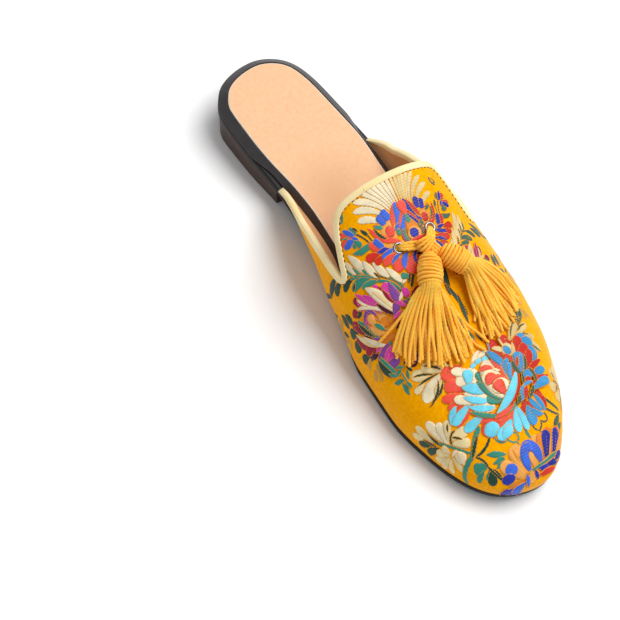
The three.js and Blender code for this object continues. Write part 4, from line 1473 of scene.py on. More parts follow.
# Main peony on the toe box, with the leaves over it. The dark pine leaves between the tassels, at the
# chart's end, are partly woven leaves and partly painted shade under the tassels.
PEONY_CHART = """
straw petal -22.2 76.3 -34.4 74.2 5.2 0.5, -19.4 76.4 -28 73.7 4.6, -16.2 76.3 -21.2 74.1 3.4
straw petal -29.6 76 -36.2 76.7 3.5
ivory petal -22.4 76.6 -34 79 6 0.8
straw petal -22.2 77.4 -28.2 79.1 4
pine leaf -34 74.2 -24.2 76.1 1.2 -0.6, -27.6 73.6 -20.2 76.2 1.2 -0.6, -20.8 74.1 -16.4 76 1.1 -0.3
pine leaf -34.2 76 -22 76.3 1.2 -0.5, -24 76.9 -33.6 80 1.5 -1.8, -22.4 77.6 -28.6 79.5 1.4 -0.7
straw petal 15.2 77.2 23.2 74.7 4.8, 19.8 76.9 29.2 75.6 3.7, 25.6 77.2 31.2 78.3 3
straw petal 26.2 78.2 31 80.8 3.8
pine leaf 16.2 77.1 22.9 74.5 1.1 -0.8, 21.4 76.5 28.8 75.6 1.2 -0.8, 25.4 76.9 28.4 77.5 1
pine leaf 26.4 79.1 31.4 81.1 1.3
coral petal -11.6 79.6 -21.8 76.5 6.8
coral leaf -20 76.8 -11.2 77.2 2.4 -0.3
coral petal -12.4 80.9 -23.4 78.7 6.2, -13.6 82.4 -27 80.2 4.2, -13.6 82.9 -26.6 81.9 3.6
coral leaf -26 83.2 -13.6 83.4 2.2, -26.6 85.4 -15.6 83.3 3.2 0.4, -23.6 85.8 -13.6 85.9 2
coral oval -18.4 88.5 -8.2 88.3 8.2
coral petal -17 86.6 -1 88.4 5.2
coral leaf -14.8 90.2 -2.6 88 2.6 -0.8, -5.4 90.6 1.2 87 2.4 -0.5
red leaf 1.6 89.4 8.6 87 3, 6.8 87.6 11.4 90 3 -1, 10.8 86.3 16.2 90.1 4.4 -2.4
red leaf 14.2 86.2 17.4 88 2 -0.5
red petal 8 79.4 6.2 75.7 5.4, 11.4 78.6 12.8 75.8 5
red leaf 13 76.6 15.4 79 2.4 -0.4
sky petal 19 80.2 23.6 77 6 -0.4
sky oval 20.6 78.2 26.8 79 5.6
sky petal 16.8 82.7 25.2 79.9 5.4 0.8
sky oval 21.2 80 26 80.6 5.2
red petal 13.8 79.8 20.6 77.2 4.8, 13.8 80.8 22.2 78.9 4.6, 14.6 83 22.4 79.9 4.2 0.5
red leaf 14.6 83.3 26.2 82.2 2.8 -0.3, 17 82.6 19.2 85 2.4, 13.6 85.6 25.8 85.1 3.2 -0.3
sky petal 13 86.3 24.8 85.7 4.2 -0.3
sky oval 18.6 83.9 25.5 83.8 4.2
sky leaf -22.6 82.3 -28.4 84.6 3.2 1
sky petal -17 83.3 -27.8 84.7 4.2 0.3, -13.6 85.8 -24.8 86.5 4.2 -0.3
sky oval -17.4 88.8 -10 88.6 6.6
sky petal -3.6 88.9 -13.2 90.5 5.4 -0.8
sky oval -11 90.8 -4.6 89.9 4.6
sky petal 1.6 87.6 -2.6 91.4 4.2 0.6, 1.8 87.4 1.4 91.8 3.4 -0.5, 7.2 88.2 6.4 91.6 5 0.8
sky leaf 7.6 88.6 12.8 90.6 3 1.3, 9.6 86.9 13.4 90.2 3.2 0.6, 12.8 86.9 14.8 90.4 3 -0.5
ivory oval -18 79.4 -6.6 79.4 7.6 -0.4
ivory petal -8 79 -17.2 77 4 -0.5
ivory leaf -13.4 80.4 -6.8 81.4 3.4
ivory petal -13.4 83.9 -22.2 81.2 4.2 0.2
ivory leaf -17.4 81.2 -6 84.2 3.6 0.5, -15.6 83.8 -7 85.7 3.4 0.3, -13.6 85.4 -7.4 86 2 0.3
sky petal -13.4 80.7 -10.4 78.2 5
sky leaf -16.8 80.3 -7 83 5.2 -0.2, -18.2 81.7 -8.2 84.5 3.6 0.7, -18.2 83.5 -7.4 85.8 3.2 0.9
teal leaf -19 84.2 -7 87.5 2.4 0.9, -7.4 87.6 4.6 86.6 2.2 0.7
teal petal -7 81.8 -6.8 79.3 4, -2.4 85.6 -9.2 83.9 4.8
teal leaf -9.4 80.6 -1.6 85.7 4.4 0.7
ivory leaf -7 77.6 -0.4 76.3 2.8, -3.4 77.5 3.6 77.2 2.8 -0.6
sky stem -8.5 78.2 -5.7 78.1 2.2, -5.5 78 -2.1 77.9 2.3 -0.2, -1.9 78.1 1.6 78.1 2.8
ivory oval -1.6 78.3 -0.5 85.3 12, -6.8 81.2 0.6 80.8 7
coral leaf -6.6 79.5 0.8 80.2 2.5 -1.2, 0.9 78.6 4.2 83 3.4 -1.1
coral petal 4.2 82.8 -0.4 81.4 2.6
ivory leaf 0 79.9 3.4 81 1.3 0.3
coral leaf -5.7 82.2 0.4 81.6 5 -1.5
ivory oval -4.6 83.3 4 83.1 6.8
coral petal -0.2 84.7 -1.4 82.1 6
ivory leaf 4.4 79 4.6 83.6 1.6 -0.5
sky leaf 1.5 77.1 6.4 81 4.2 -0.6, 5 79.8 5.4 83.4 1.6 -0.2
red stem 4.6 77 8.8 80.2 2.4 -0.6
ivory leaf 4.6 77.1 10 78.6 2.6 -0.5
ivory oval 8.6 78.6 14.6 78.4 6.6
ivory stem 10.2 75.9 10.7 77.8 1.2 0.2
straw leaf 15.6 77.6 12 80.2 2.2 -0.4
sky oval 9.4 78.7 12.9 78.3 4.6
sky leaf 5.6 81.2 9.8 79.6 2.8 -0.3
sky petal 5.2 83.2 9.6 80.6 4.2
coral leaf 7.6 78.7 10.8 81.2 2 -1.2, 10.8 80.4 4.8 83.9 2 -0.9, -10.2 87.4 5 85.2 3.4 1.7
red leaf -2 86.9 11 81.6 3.8 1.7
sky leaf -8.8 86.9 10 82.1 4.2 2.1
pine leaf 10.4 80.4 12.2 83.2 3.6 0.6
sky petal 12.2 82.9 15.4 79.5 6
coral leaf 11.4 81.8 14.2 80.2 1.8 -0.3
sky leaf 12.2 82.8 16.4 79.8 2.4 0.3
pine leaf 12.8 83.2 17.6 80.2 1.8 1, 13.2 82.7 9.8 85 1.7 0.3
sky oval 11.8 83.7 17 83.5 4.4
pine stem 16.3 82.9 16.6 85.3 1.7 -0.9
red petal 10.4 85.1 14.6 84.2 3.2
sky leaf 7 85.4 15 85 1.9 -0.6, 5.2 87.2 9 84.9 2.8 -0.2
red leaf 6.8 87.2 10.6 85.1 2.6
pine leaf 9 87.3 14.8 85.5 2 0.4, 2.6 87.4 5.6 86 2.2, 4.2 61.4 0.2 66.2 3 0.6
pine leaf 0.4 63.6 3.2 70.6 2.2 -0.6, 3.8 66.2 1.4 71.8 2.2 0.4
teal leaf -2.8 69.4 0.4 74.8 2 0.3
red leaf -2.4 73.4 1.2 76.4 1.8
pine leaf 2 72.4 3 75.4 1.8
red petal 4 76.6 6 74 3
sky stem 3.2 77.4 4.3 75.8 0.9
"""

# One of the two pale flowers beside the peony, with its stem.
CLUSTER_CHART = """
straw petal -43.2 84.3 -49.6 81.3 3.8, -40.6 84.8 -44.8 80.8 3.8
pine petal -40.6 85.1 -49.8 83.1 3.3, -39.4 86.1 -48.4 85.2 3.7
pine leaf -45 83.1 -39.6 85.9 1.3 0.2
ivory petal -35 86.6 -38.6 81.5 4.7 0.3, -34.4 87 -33.8 82.7 4.2
straw petal -33.4 86.2 -29.5 83.3 4, -32.4 86.2 -23.6 86.5 5, -32.2 87 -24.8 88.6 4.4
pine leaf -40.8 82.8 -34.6 87.1 1.7 1.2
teal stem -38.2 85.3 -26.2 90.4 1.4
pine stem -32.6 87.1 -28.4 85.5 1.1 -1.4
pine leaf -31.4 86 -27.2 87.4 1.2 -0.2, -31.6 85.1 -29.8 83.8 1.2 -0.2
straw petal -36.8 88.2 -46.6 87.1 4, -36.8 88.5 -46.2 88.7 3.4, -36.4 88 -42.2 86.3 3.4
straw petal -35.4 88 -37.8 86.3 3.2, -36.8 88.8 -42 90.5 3.8, -35.6 88.7 -34.8 91.5 3.2
ivory petal -33.8 88.1 -30.7 90.5 4.8
ivory leaf -32.2 88.4 -32 91.2 2, -35.8 88.5 -31.6 88.2 1.9
"""

# Branches and curls under the peony, and the blue palmette at the toe.
TOE_CHART = """
teal stem -18 87.1 -27 90.8 2.6 0.5, -25.6 90.4 -39 93.2 2.6 0.8
pine leaf -20.4 88.2 -27.8 91.1 1.9 0.3
pine stem -16.2 89.6 -25.8 91 1.5 -1.2
teal petal -22.6 93.2 -29.6 92.6 5, -25.2 93.6 -30.8 94.4 3, -21.8 93.9 -25.8 95.3 3
pine petal -21.4 94.1 -24.7 96.3 4.8
teal leaf -21.4 91.6 -12.8 93.4 3
teal petal -20.2 93.5 -14.4 93.8 2.9
teal leaf -19.8 94.5 -15.4 94 2
pine stem -26 91 -22.8 93.7 1.2 -1, -22.8 93.4 -18.4 97 1.3 0.4
pine leaf -21 94.1 -18.8 96.2 1.2
teal stem -14.4 90.1 -10.2 91.6 1.1 1.2, -9.8 91.1 -5.8 92.6 1.1 0.7, -6.2 92.6 -4 91.3 1.1 0.9
teal stem -4 91.5 -6 90.9 1 0.4, -5.8 92.4 -5.4 93.5 0.9
teal leaf 0.1 91.3 1 93.4 1.8
pine stem 5.6 91 6.4 92.7 1.1 1.2, 6.4 92.7 9.8 91.3 1.1 1, 6.6 92.6 7.6 93.6 0.9
pine stem 9.8 91.4 13.4 91.8 1.1 0.8, 13.2 91.9 13.2 90.4 1.1 0.7, 17 88.1 24.4 91.2 1.8 0.2
pine stem 11 89.7 16.2 90.3 1.7 -0.5, 15.6 90 23.4 91.8 1.5 0.7
pine leaf 15 93.4 22.6 91.8 3, 16.8 94.1 22.2 92.9 2.4
apricot petal -7 98.5 -9.3 92.7 8, -8.4 98.2 -17.6 94.3 6.2
orange leaf -9.6 93.1 -9 95.6 1
blue oval -16.9 95.6 -10.9 96.1 5.3
navy oval -19.9 96.6 -13.5 97.1 4.3
teal leaf -8.2 94.5 -6.2 97.5 1.5 0.3
apricot petal -2.4 97.9 3.6 93 6 0.4
orange petal -0.8 97.9 6.4 93.1 4.8 0.3, 2.4 97.7 11.6 92.9 7 0.6
navy petal 3.4 97.3 9.6 93.1 5.2 0.5
apricot leaf 4.6 97.7 13 93.5 2.6 0.7
orange petal 6.4 97.5 17 93.3 6 0.8
navy petal 7.4 97.3 15.7 93.4 4.2 0.7
apricot leaf 8.4 97.6 18.2 94.3 2.7 0.8
blue leaf -5.8 97.9 -2.1 92.9 4.8 -1.7, 0.4 97.5 -2.7 92.9 4.8 1.7
blue oval -4.6 94.1 -0.4 94.1 4.4
apricot petal -3.2 97.9 -2.6 95 2.6
orange leaf -2 98 14.2 97.2 5 0.5
teal leaf -8.2 97.6 14.2 96.6 1.6 0.8
navy petal -1.6 97.9 3.6 98.6 3.2, 2.8 98 8.6 98.1 2.9, 7.4 97.9 13.2 97 2.5
red leaf -2.8 98.8 6.8 98.9 2.5
orange leaf -8.8 98.2 -22.2 98.2 2.5
navy leaf -28.2 97.8 -15.2 98.6 2.9
blue leaf -9.2 98.7 -21.2 99 2.7
apricot petal -5.4 97.6 -7 99.2 3.8
blue leaf -8 97.7 -9 99.4 2.3
navy leaf -3.8 97.7 -3.6 99.2 2.3
"""


@dataclass
class Brocade:
    """Woven figures of the vamp: silk floats that stand a little over the satin ground.

    Attributes:
        crown: axis of the crown's symmetry across the vamp, how the cloth draws in on its lateral
            half, and how that half sits nearer the toe.
        cluster: the same of the two pale clusters.
        root_shade: painted shade and highlight along a stroke: how dark its colour is at its root, by the
            one at its lighter tip.
        dye: darkest and lightest that one stroke's colour is by its silk's own.
        lift: height of the floats' edge over the ground, of their middle over the edge, and of each
            stroke over those it crosses.
        wall: thickness of the floats, down into the ground.
        toe_share: share of the length where they end at the toe.
        side_girth: girth where they end at the sides.
        stations: first and last share of the length where the girth is measured, and how many.
    """

    crown: tuple = (-1.8, (0.9, 0.004, 0.74), (0.022, 0.0012))
    cluster: tuple = (0.5, (1.0, 0.0, 1.0), (0.03, 0.0))
    root_shade: float = 0.8
    dye: tuple[float, float] = (0.93, 1.04)
    lift: tuple[float, float, float] = (0.04, 0.02, 0.05)
    wall: float = 0.9
    edge_room: float = 0.006
    toe_share: float = 0.993
    side_girth: float = 0.97
    stations: tuple[float, float, int] = (0.42, 0.996, 97)
    girths: int = 401
    seed: int = 5

    def strokes(self) -> list[Stroke]:
        """Every stroke of the charts.

        Returns:
            The strokes in the order that they are laid.
        """
        lotus, axis, half, peony, cluster, toe = map(Stroke.read, (
            LOTUS_CHART, AXIS_CHART, HALF_CHART, PEONY_CHART, CLUSTER_CHART, TOE_CHART))
        lateral_half, lateral_lotus, lateral_cluster = (
            [stroke.turned(*mirror) for stroke in strokes]
            for strokes, mirror in ((half, self.crown), (lotus, self.crown), (cluster, self.cluster)))
        return [
            *half, *lateral_half, *lotus, *lateral_lotus, *axis, *cluster, *lateral_cluster, *toe, *peony]

    def depths(self, outlines: Sequence[Array]) -> list[int]:
        """How many layers of earlier strokes each one crosses.

        Args:
            outlines: outline of each stroke, in the order that they are laid.

        Returns:
            The layers under each.
        """
        lows = np.array([rows.min(axis=(0, 1)) for rows in outlines])
        highs = np.array([rows.max(axis=(0, 1)) for rows in outlines])
        depths: list[int] = []
        for i, rows in enumerate(outlines):
            near = np.flatnonzero(((lows[:i] < highs[i]) & (lows[i] < highs[:i])).all(axis=1))
            depths.append(max((depths[j] + 1 for j in near if crossing(rows, outlines[j])), default=0))
        return depths

    def girth_of(self, across: Array, share: Array) -> Array:
        """Girth of places on the chart.

        Args:
            across: millimetres across the vamp from its ridge.
            share: share of the length.

        Returns:
            The girth of each.
        """
        stations, girths = np.linspace(*self.stations), np.linspace(-1, 1, self.girths)
        points = LAST.point(*np.meshgrid(girths, angle_of(stations)))
        reach = np.cumsum(np.linalg.norm(np.diff(points, axis=1), axis=-1), axis=1)
        reach = np.pad(reach, ((0, 0), (1, 0)))
        reach -= reach[:, [self.girths // 2]]
        at = np.interp(share, stations, np.arange(len(stations)))
        low = np.minimum(at.astype(int), len(stations) - 2)
        rows = reach[low] + (reach[low + 1] - reach[low]) * (at - low)[:, None]
        return np.array([np.interp(place, row, girths) for place, row in zip(across, rows)])

    def carried(self, chart: Array, height: Array, sink: Callable[[Array, Array], Array]) -> Array:
        """Places of the chart, carried to the vamp.

        Args:
            chart: places across and along in millimetres.
            height: height of each over the ground.
            sink: depth of the vamp's creases for girths and shares.

        Returns:
            Points in millimetres.
        """
        share = np.clip(chart[:, 1] / LAST.length, 0.0, self.toe_share)
        girth = np.clip(self.girth_of(chart[:, 0], share), -self.side_girth, self.side_girth)
        end = share_of(LAST.by_side("end", girth, 1 - np.abs(girth))) + self.edge_room
        share = np.maximum(share, end)
        return LAST.over(girth, share, height - sink(girth, share))

    def build(self, sink: Callable[[Array, Array], Array]) -> None:
        """All the strokes in one piece.

        Args:
            sink: depth of the vamp's creases for girths and shares.
        """
        chance = np.random.RandomState(self.seed)
        strokes = self.strokes()
        outlines = [stroke.patch() for stroke in strokes]
        edge, dome, layer = self.lift
        arch = edge + dome * (1 - np.linspace(-1, 1, PLACES_ACROSS) ** 2)
        heights, colours, margins, faces, count = [], [], [], [], 0
        for stroke, rows, depth in zip(strokes, outlines, self.depths(outlines)):
            steps = len(rows)
            heights.append(np.tile(arch + layer * depth, steps))
            # Strokes on the side away from the light take their silk's second, darker colour: painted
            # shade.
            tint = np.array(linear(stroke.thread.value[int(stroke.shaded)]))
            tint[:3] *= chance.uniform(*self.dye)
            # Painted shade: each stroke darker at its root, lighter towards its tip.
            painted_root_shade = np.linspace(self.root_shade, 1.0, steps).repeat(PLACES_ACROSS)[:, None]
            colours.append(tint * np.where(np.arange(4) < 3, painted_root_shade, 1.0))
            margins.append(stroke.margins(rows).ravel())
            corner = count + PLACES_ACROSS * np.arange(steps - 1)[:, None] + np.arange(PLACES_ACROSS - 1)
            after = corner + PLACES_ACROSS
            faces.append(np.stack([corner, corner + 1, after + 1, after], axis=-1).reshape(-1, 4))
            count += PLACES_ACROSS * steps
        chart, quads = np.concatenate([rows.reshape(-1, 2) for rows in outlines]), np.concatenate(faces)
        points = self.carried(chart, np.concatenate(heights), sink)
        figures = joined("brocade_figures", points, quads.tolist())
        tints = figures.data.color_attributes.new("thread", "FLOAT_COLOR", "POINT")
        tints.data.foreach_set("color", np.concatenate(colours).ravel())
        inside = figures.data.attributes.new("margin", "FLOAT", "POINT")
        inside.data.foreach_set("value", np.concatenate(margins))
        weave = figures.data.uv_layers.new(name="surface")
        weave.data.foreach_set("uv", (chart[quads.ravel()] * MM).ravel())
        settle(figures, Finish.FIGURES, "brocade")
        solid = figures.modifiers.new("floats", "SOLIDIFY")
        solid.thickness = self.wall * MM
        solid.offset = -1.0


@dataclass
class Binding:
    """Ribbon folded over the topline, and the stitches along both its edges.

    Attributes:
        section: out from the face and past the cut edge, round the folded ribbon.
        point: millimetres over which it narrows to its two ends.
        point_width: how wide it is there, by its full width.
        stitch_line: where the stitches run past the cut edge.
        stitch_heights: how far out from the face the outer and the inner row lie.
        stitch_taper: angle short of a half turn where a stitch's rounded ends start.
    """

    spacing: float = 0.7
    section: tuple = (
        (0.05, -2.6), (0.42, -2.5), (0.62, -2.2), (0.68, -1.3), (0.68, -0.2), (0.45, 0.4), (-0.1, 0.65),
        (-0.9, 0.75), (-1.7, 0.65), (-2.3, 0.4), (-2.5, -0.2), (-2.5, -1.3), (-2.45, -2.2), (-2.25, -2.5),
        (-1.7, -2.6))
    ribbon_width: float = 9.0
    point: float = 14.0
    point_width: float = 0.25
    rounding: int = 14
    samples: int = 3001
    stitch_line: float = -2.75
    stitch_length: float = 1.4
    stitch_gap: float = 1.0
    stitch_radius: float = 0.22
    stitch_heights: tuple[float, float] = (0.05, -1.85)
    stitch_step: float = 0.35
    first_stitch: int = 6
    stitch_taper: float = 0.25

    def topline(self) -> tuple[Array, Array, Array]:
        """The cut edge of the upper, evened.

        Returns:
            Its points, the face's outward direction at each and the way past the edge.
        """
        across = np.linspace(0.0, 1.0, self.samples)
        girth, angle = LAST.upper_place(across, np.ones_like(across))
        points, outs = LAST.point(girth, angle), LAST.normal(girth, angle)
        # The directions ride along as a thousandth, so that they hardly add to the length.
        line = evenly(np.column_stack([points, 1e-3 * outs]), self.spacing)
        for _ in range(self.rounding):
            line[1:-1] += 0.25 * (line[:-2] - 2 * line[1:-1] + line[2:])
        points, outs = line[:, :3], unit(line[:, 3:])
        return points, outs, unit(np.cross(outs, unit(np.gradient(points, axis=0))))

    def build(self) -> None:
        """Ribbon and stitches."""
        points, outs, past = self.topline()
        section = np.array(self.section + self.section[:1])

        def place(across: Array, along: Array) -> Array:
            """Points of the ribbon.

            Args:
                across: share of the way round its section.
                along: share of the way along the topline.

            Returns:
                Points in millimetres.
            """
            i = np.rint(along * (len(points) - 1)).astype(int)
            row = section[np.rint(across * (len(section) - 1)).astype(int)]
            from_end = np.minimum(i, len(points) - 1 - i) * self.spacing
            wide = self.point_width + (1 - self.point_width) * np.minimum(from_end / self.point, 1)
            return points[i] + outs[i] * row[:, :1] + past[i] * row[:, 1:] * wide[:, None]

        shape = draped_grid(len(section) - 1, len(points) - 1, place)
        layer = shape.loops.layers.uv.active
        for face in shape.faces:
            for loop in face.loops:
                across, along = loop[layer].uv
                loop[layer].uv = (
                    along * len(points) * self.spacing * MM, across * self.ribbon_width * MM)
        bmesh.ops.remove_doubles(shape, verts=shape.verts, dist=0.01 * MM)
        bmesh.ops.holes_fill(shape, edges=[edge for edge in shape.edges if edge.is_boundary])
        bmesh.ops.recalc_face_normals(shape, faces=shape.faces)
        settle(object_of("ribbon_binding", shape), Finish.RIBBON, "ribbon", "binding")
        stitches = CordMesh()
        pitch = int(round((self.stitch_length + self.stitch_gap) / self.stitch_step))
        reach = int(round(self.stitch_length / self.stitch_step))
        taper = np.sin(np.linspace(self.stitch_taper, math.pi - self.stitch_taper, reach + 1))
        for height in self.stitch_heights:
            seam = evenly(points + past * self.stitch_line + outs * height, self.stitch_step)
            for start in range(self.first_stitch, len(seam) - pitch, pitch):
                stitches.add(seam[start:start + reach + 1], self.stitch_radius * taper, sides=6)
        settle(stitches.piece("binding_stitches"), Finish.STITCH, "ribbon")


@dataclass
class Eyelets:
    """Two plated eyelets in the vamp.

    Attributes:
        places: girth and share of each, by node.
        section: radius and height over the vamp round the flanged barrel.
    """

    places: dict = field(default_factory=lambda: {
        "eyelet_medial": (-0.114, 0.552), "eyelet_lateral": (0.050, 0.545)})
    section: tuple = (
        (1.55, -2.7), (2.55, -2.7), (2.6, -2.4), (2.55, -2.1), (1.95, -2.1), (1.95, 0.1), (2.75, 0.1),
        (2.82, 0.3), (2.8, 0.55), (2.6, 0.85), (2.3, 0.97), (2.0, 0.92), (1.72, 0.7), (1.55, 0.35))
    steps: int = 40

    def build(self) -> None:
        """Spins each eyelet's section about the vamp's outward direction."""
        for node, (girth, share) in self.places.items():
            shape = bmesh.new()
            corners = [shape.verts.new((radius * MM, 0, height * MM)) for radius, height in self.section]
            ring = [shape.edges.new(pair) for pair in zip(corners, corners[1:] + corners[:1])]
            bmesh.ops.spin(
                shape, geom=corners + ring, cent=(0, 0, 0), axis=(0, 0, 1), angle=2 * math.pi,
                steps=self.steps, use_merge=True)
            bmesh.ops.recalc_face_normals(shape, faces=shape.faces)
            centre = Vector(LAST.over(girth, share) * MM)
            out = Vector(LAST.normal(np.array(girth), angle_of(share)))
            turn = Vector((0, 0, 1)).rotation_difference(out).to_matrix().to_4x4()
            bmesh.ops.transform(shape, matrix=Matrix.Translation(centre) @ turn, verts=shape.verts)
            settle(object_of(node + "_ring", shape, sharp=50.0), Finish.SILVER, "eyelet_metal", node)


@dataclass
class Tassel:
    """Cotton tassel that lies on the vamp: a wrapped head and a skirt of cords.

    Attributes:
        node: its node in the frame.
        crown: girth, share and height over the vamp of the head's top.
        neck: the same of the head's foot.
        fan: girth and share of the skirt's ends, from one side to the other.
        strays: girth and share of single cords' ends, and where across the neck they start.
        slant: how far the head's turns lean, by the head's length.
        head: share of the way down the head, and its radius there.
        core: how far in from that its core lies, and the core's least radius.
        core_span: shares of the way down the head where the core starts and ends.
        layers: cords in each layer, its height over the vamp at the ends and its radius at the neck.
        stray_layer: that height and radius for the strays.
        jitter: how far a cord stands off its place in the layer, by the room between two.
        reaches: shortest and longest cord, by the skirt's length.
        flares: how early the layers and the strays spread: the lower, the earlier.
        neck_turn: angle round the neck from its top to the outermost cord.
        root_width: the skirt's width at the neck, by the one at its ends.
        curl: girth that a cord sways to each side.
        root_blend: shares of a cord between which it leaves the neck's own direction.
        tucked: share of a cord that is hidden in the head.
        fall: how early a cord comes down to the vamp: the lower, the earlier.
        edge_drop: how much lower the outermost cords end, by their layer's height.
        waves: least and most sway along a cord and at its start, in radians.
    """

    node: str
    crown: tuple[float, float, float]
    neck: tuple[float, float, float]
    fan: tuple[tuple[float, float], ...]
    strays: tuple[tuple[float, float, float], ...] = ()
    seed: int = 3
    strand: float = 0.8
    lay: float = 3.8
    wraps: float = 9.0
    wrap_steps: int = 26
    slant: float = 0.04
    slack: float = 0.3
    head: tuple = ((0.0, 3.0), (0.1, 4.2), (0.3, 5.2), (0.5, 5.6), (0.72, 5.6), (0.88, 5.2), (1.0, 4.5))
    core: tuple[float, float] = (0.7, 0.8)
    core_span: tuple[float, float] = (-0.04, 1.06)
    layers: tuple = ((20, 1.0, 1.8), (18, 1.9, 3.0), (16, 2.8, 4.1))
    stray_layer: tuple[float, float] = (1.4, 3.4)
    jitter: float = 0.8
    reaches: tuple[float, float] = (0.9, 1.06)
    flares: tuple[float, float] = (0.85, 1.5)
    neck_turn: float = 1.6
    root_width: float = 0.16
    curl: float = 0.013
    sway: float = 0.4
    clearance: float = 1.0
    root_blend: tuple[float, float] = (-0.02, 0.1)
    tucked: float = 0.08
    fall: float = 0.7
    edge_drop: float = 0.3
    waves: tuple = ((3, 6), (0, 6))

    def build(self) -> bpy.types.Object:
        """Builds the head and the skirt in one piece.

        Returns:
            The new object.
        """
        cords = CordMesh()
        self.wrap_head(cords)
        self.hang_skirt(cords)
        return settle(cords.piece(self.node + "_cotton"), Finish.COTTON, "cotton_cord", self.node)

    def axis(self) -> tuple[Array, Array, Array, Array]:
        """Frame of the head.

        Returns:
            Its top, its axis down to the neck and two directions square to that.
        """
        crown, neck = LAST.over(*self.crown), LAST.over(*self.neck)
        way = neck - crown
        side = unit(np.cross(way, LAST.normal(np.array(self.neck[0]), angle_of(self.neck[1]))))
        return crown, way, side, unit(np.cross(side, way))

    def wrap_head(self, cords: CordMesh) -> None:
        """Winds a cord round the head, over a plain core.

        Args:
            cords: mesh that takes them.
        """
        crown, way, side, lift = self.axis()
        profile = curve_through(*zip(*self.head))
        share = np.linspace(0, 1, int(self.wrap_steps * self.wraps))
        turn = 2 * math.pi * self.wraps * share
        chance = np.random.RandomState(self.seed)

        def drift(reach: float, count: int) -> Array:
            """Slow drift along the cord, up to a reach each way, from so many draws."""
            return np.interp(share, np.linspace(0, 1, count), chance.uniform(-reach, reach, count))

        along = share + drift(self.slant, 9) * np.cos(turn + self.seed)
        radius = profile(share) - self.slack + drift(self.slack, 21)
        spiral = crown + along[:, None] * way + radius[:, None] * (
            np.cos(turn)[:, None] * side + np.sin(turn)[:, None] * lift)
        cords.add(spiral, self.strand, lay=self.lay)
        core = np.linspace(*self.core_span, 14)
        inset, least = self.core
        cords.add(crown + core[:, None] * way, np.maximum(profile(core) - inset, least), sides=14)

    def end(self, across: float) -> Array:
        """Girth and share of the skirt's end, across the fan."""
        places = np.linspace(0, 1, len(self.fan))
        return np.array([np.interp(across, places, column) for column in zip(*self.fan)])

    def hang_skirt(self, cords: CordMesh) -> None:
        """Hangs layers of cords that leave the neck in rings and fan over the vamp, and the strays.

        Args:
            cords: mesh that takes them.
        """
        chance = np.random.RandomState(self.seed)
        middle, neck = self.end(0.5), np.array(self.neck[:2])
        crown, way, side, lift = self.axis()
        ends = []
        for count, rise, ring in self.layers:
            for across in (np.arange(count) + 0.5) / count:
                wide = np.clip(across + chance.uniform(-self.jitter, self.jitter) / count, 0, 1)
                reach = chance.uniform(*self.reaches)
                ends.append((self.end(wide), reach, rise, ring, 2 * wide - 1, self.flares[0]))
        ends += [
            (np.array(stray), 1.0, *self.stray_layer, across, self.flares[1])
            for *stray, across in self.strays]
        first, last = (LAST.over(*self.fan[i]) for i in (0, -1))
        hand = np.sign((last - first) @ side)
        along = np.linspace(-self.tucked, 1.0, 13)
        hanging = np.maximum(along, 0)
        for end, reach, rise, ring, across, flare in ends:
            width = self.root_width + (1 - self.root_width) * hanging ** flare
            place = neck + (middle - neck) * (along * reach)[:, None] + (end - middle) * width[:, None]
            turn = self.neck_turn * across
            top = self.neck[2] + ring * math.cos(turn)
            low = rise * (1 - self.edge_drop * across ** 2)
            rate, start = (chance.uniform(*span) for span in self.waves)
            wave = np.sin(rate * along + start) * hanging
            fallen = top + (low - top) * hanging ** self.fall
            height = np.maximum(fallen + self.sway * wave, self.clearance)
            place[:, 0] += self.curl * wave
            hung = LAST.over(place[:, 0], place[:, 1], height)
            root = crown + way + ring * (math.sin(turn) * hand * side + math.cos(turn) * lift)
            straight = root + unit(way) * (along * np.linalg.norm(hung[-1] - root))[:, None]
            blend = drawn(along, 1.0, *self.root_blend)[:, None]
            path = smooth_path(straight + (hung - straight) * blend, spacing=0.6)
            cords.add(path, self.strand, lay=self.lay)


TASSELS = (
    Tassel(
        "tassel_a", (-0.018, 0.585, 5.2), (-0.080, 0.632, 7.4),
        ((-0.412, 0.696), (-0.330, 0.728), (-0.234, 0.746), (-0.130, 0.762), (-0.032, 0.768)),
        ((-0.458, 0.660, -0.8), (0.036, 0.760, 0.8), (0.020, 0.768, 0.7)), seed=3),
    Tassel(
        "tassel_b", (0.026, 0.588, 5.2), (0.086, 0.628, 7.1),
        ((0.400, 0.700), (0.270, 0.730), (0.158, 0.748), (0.100, 0.753), (0.042, 0.754)),
        ((0.038, 0.718, 0.9),), seed=8))


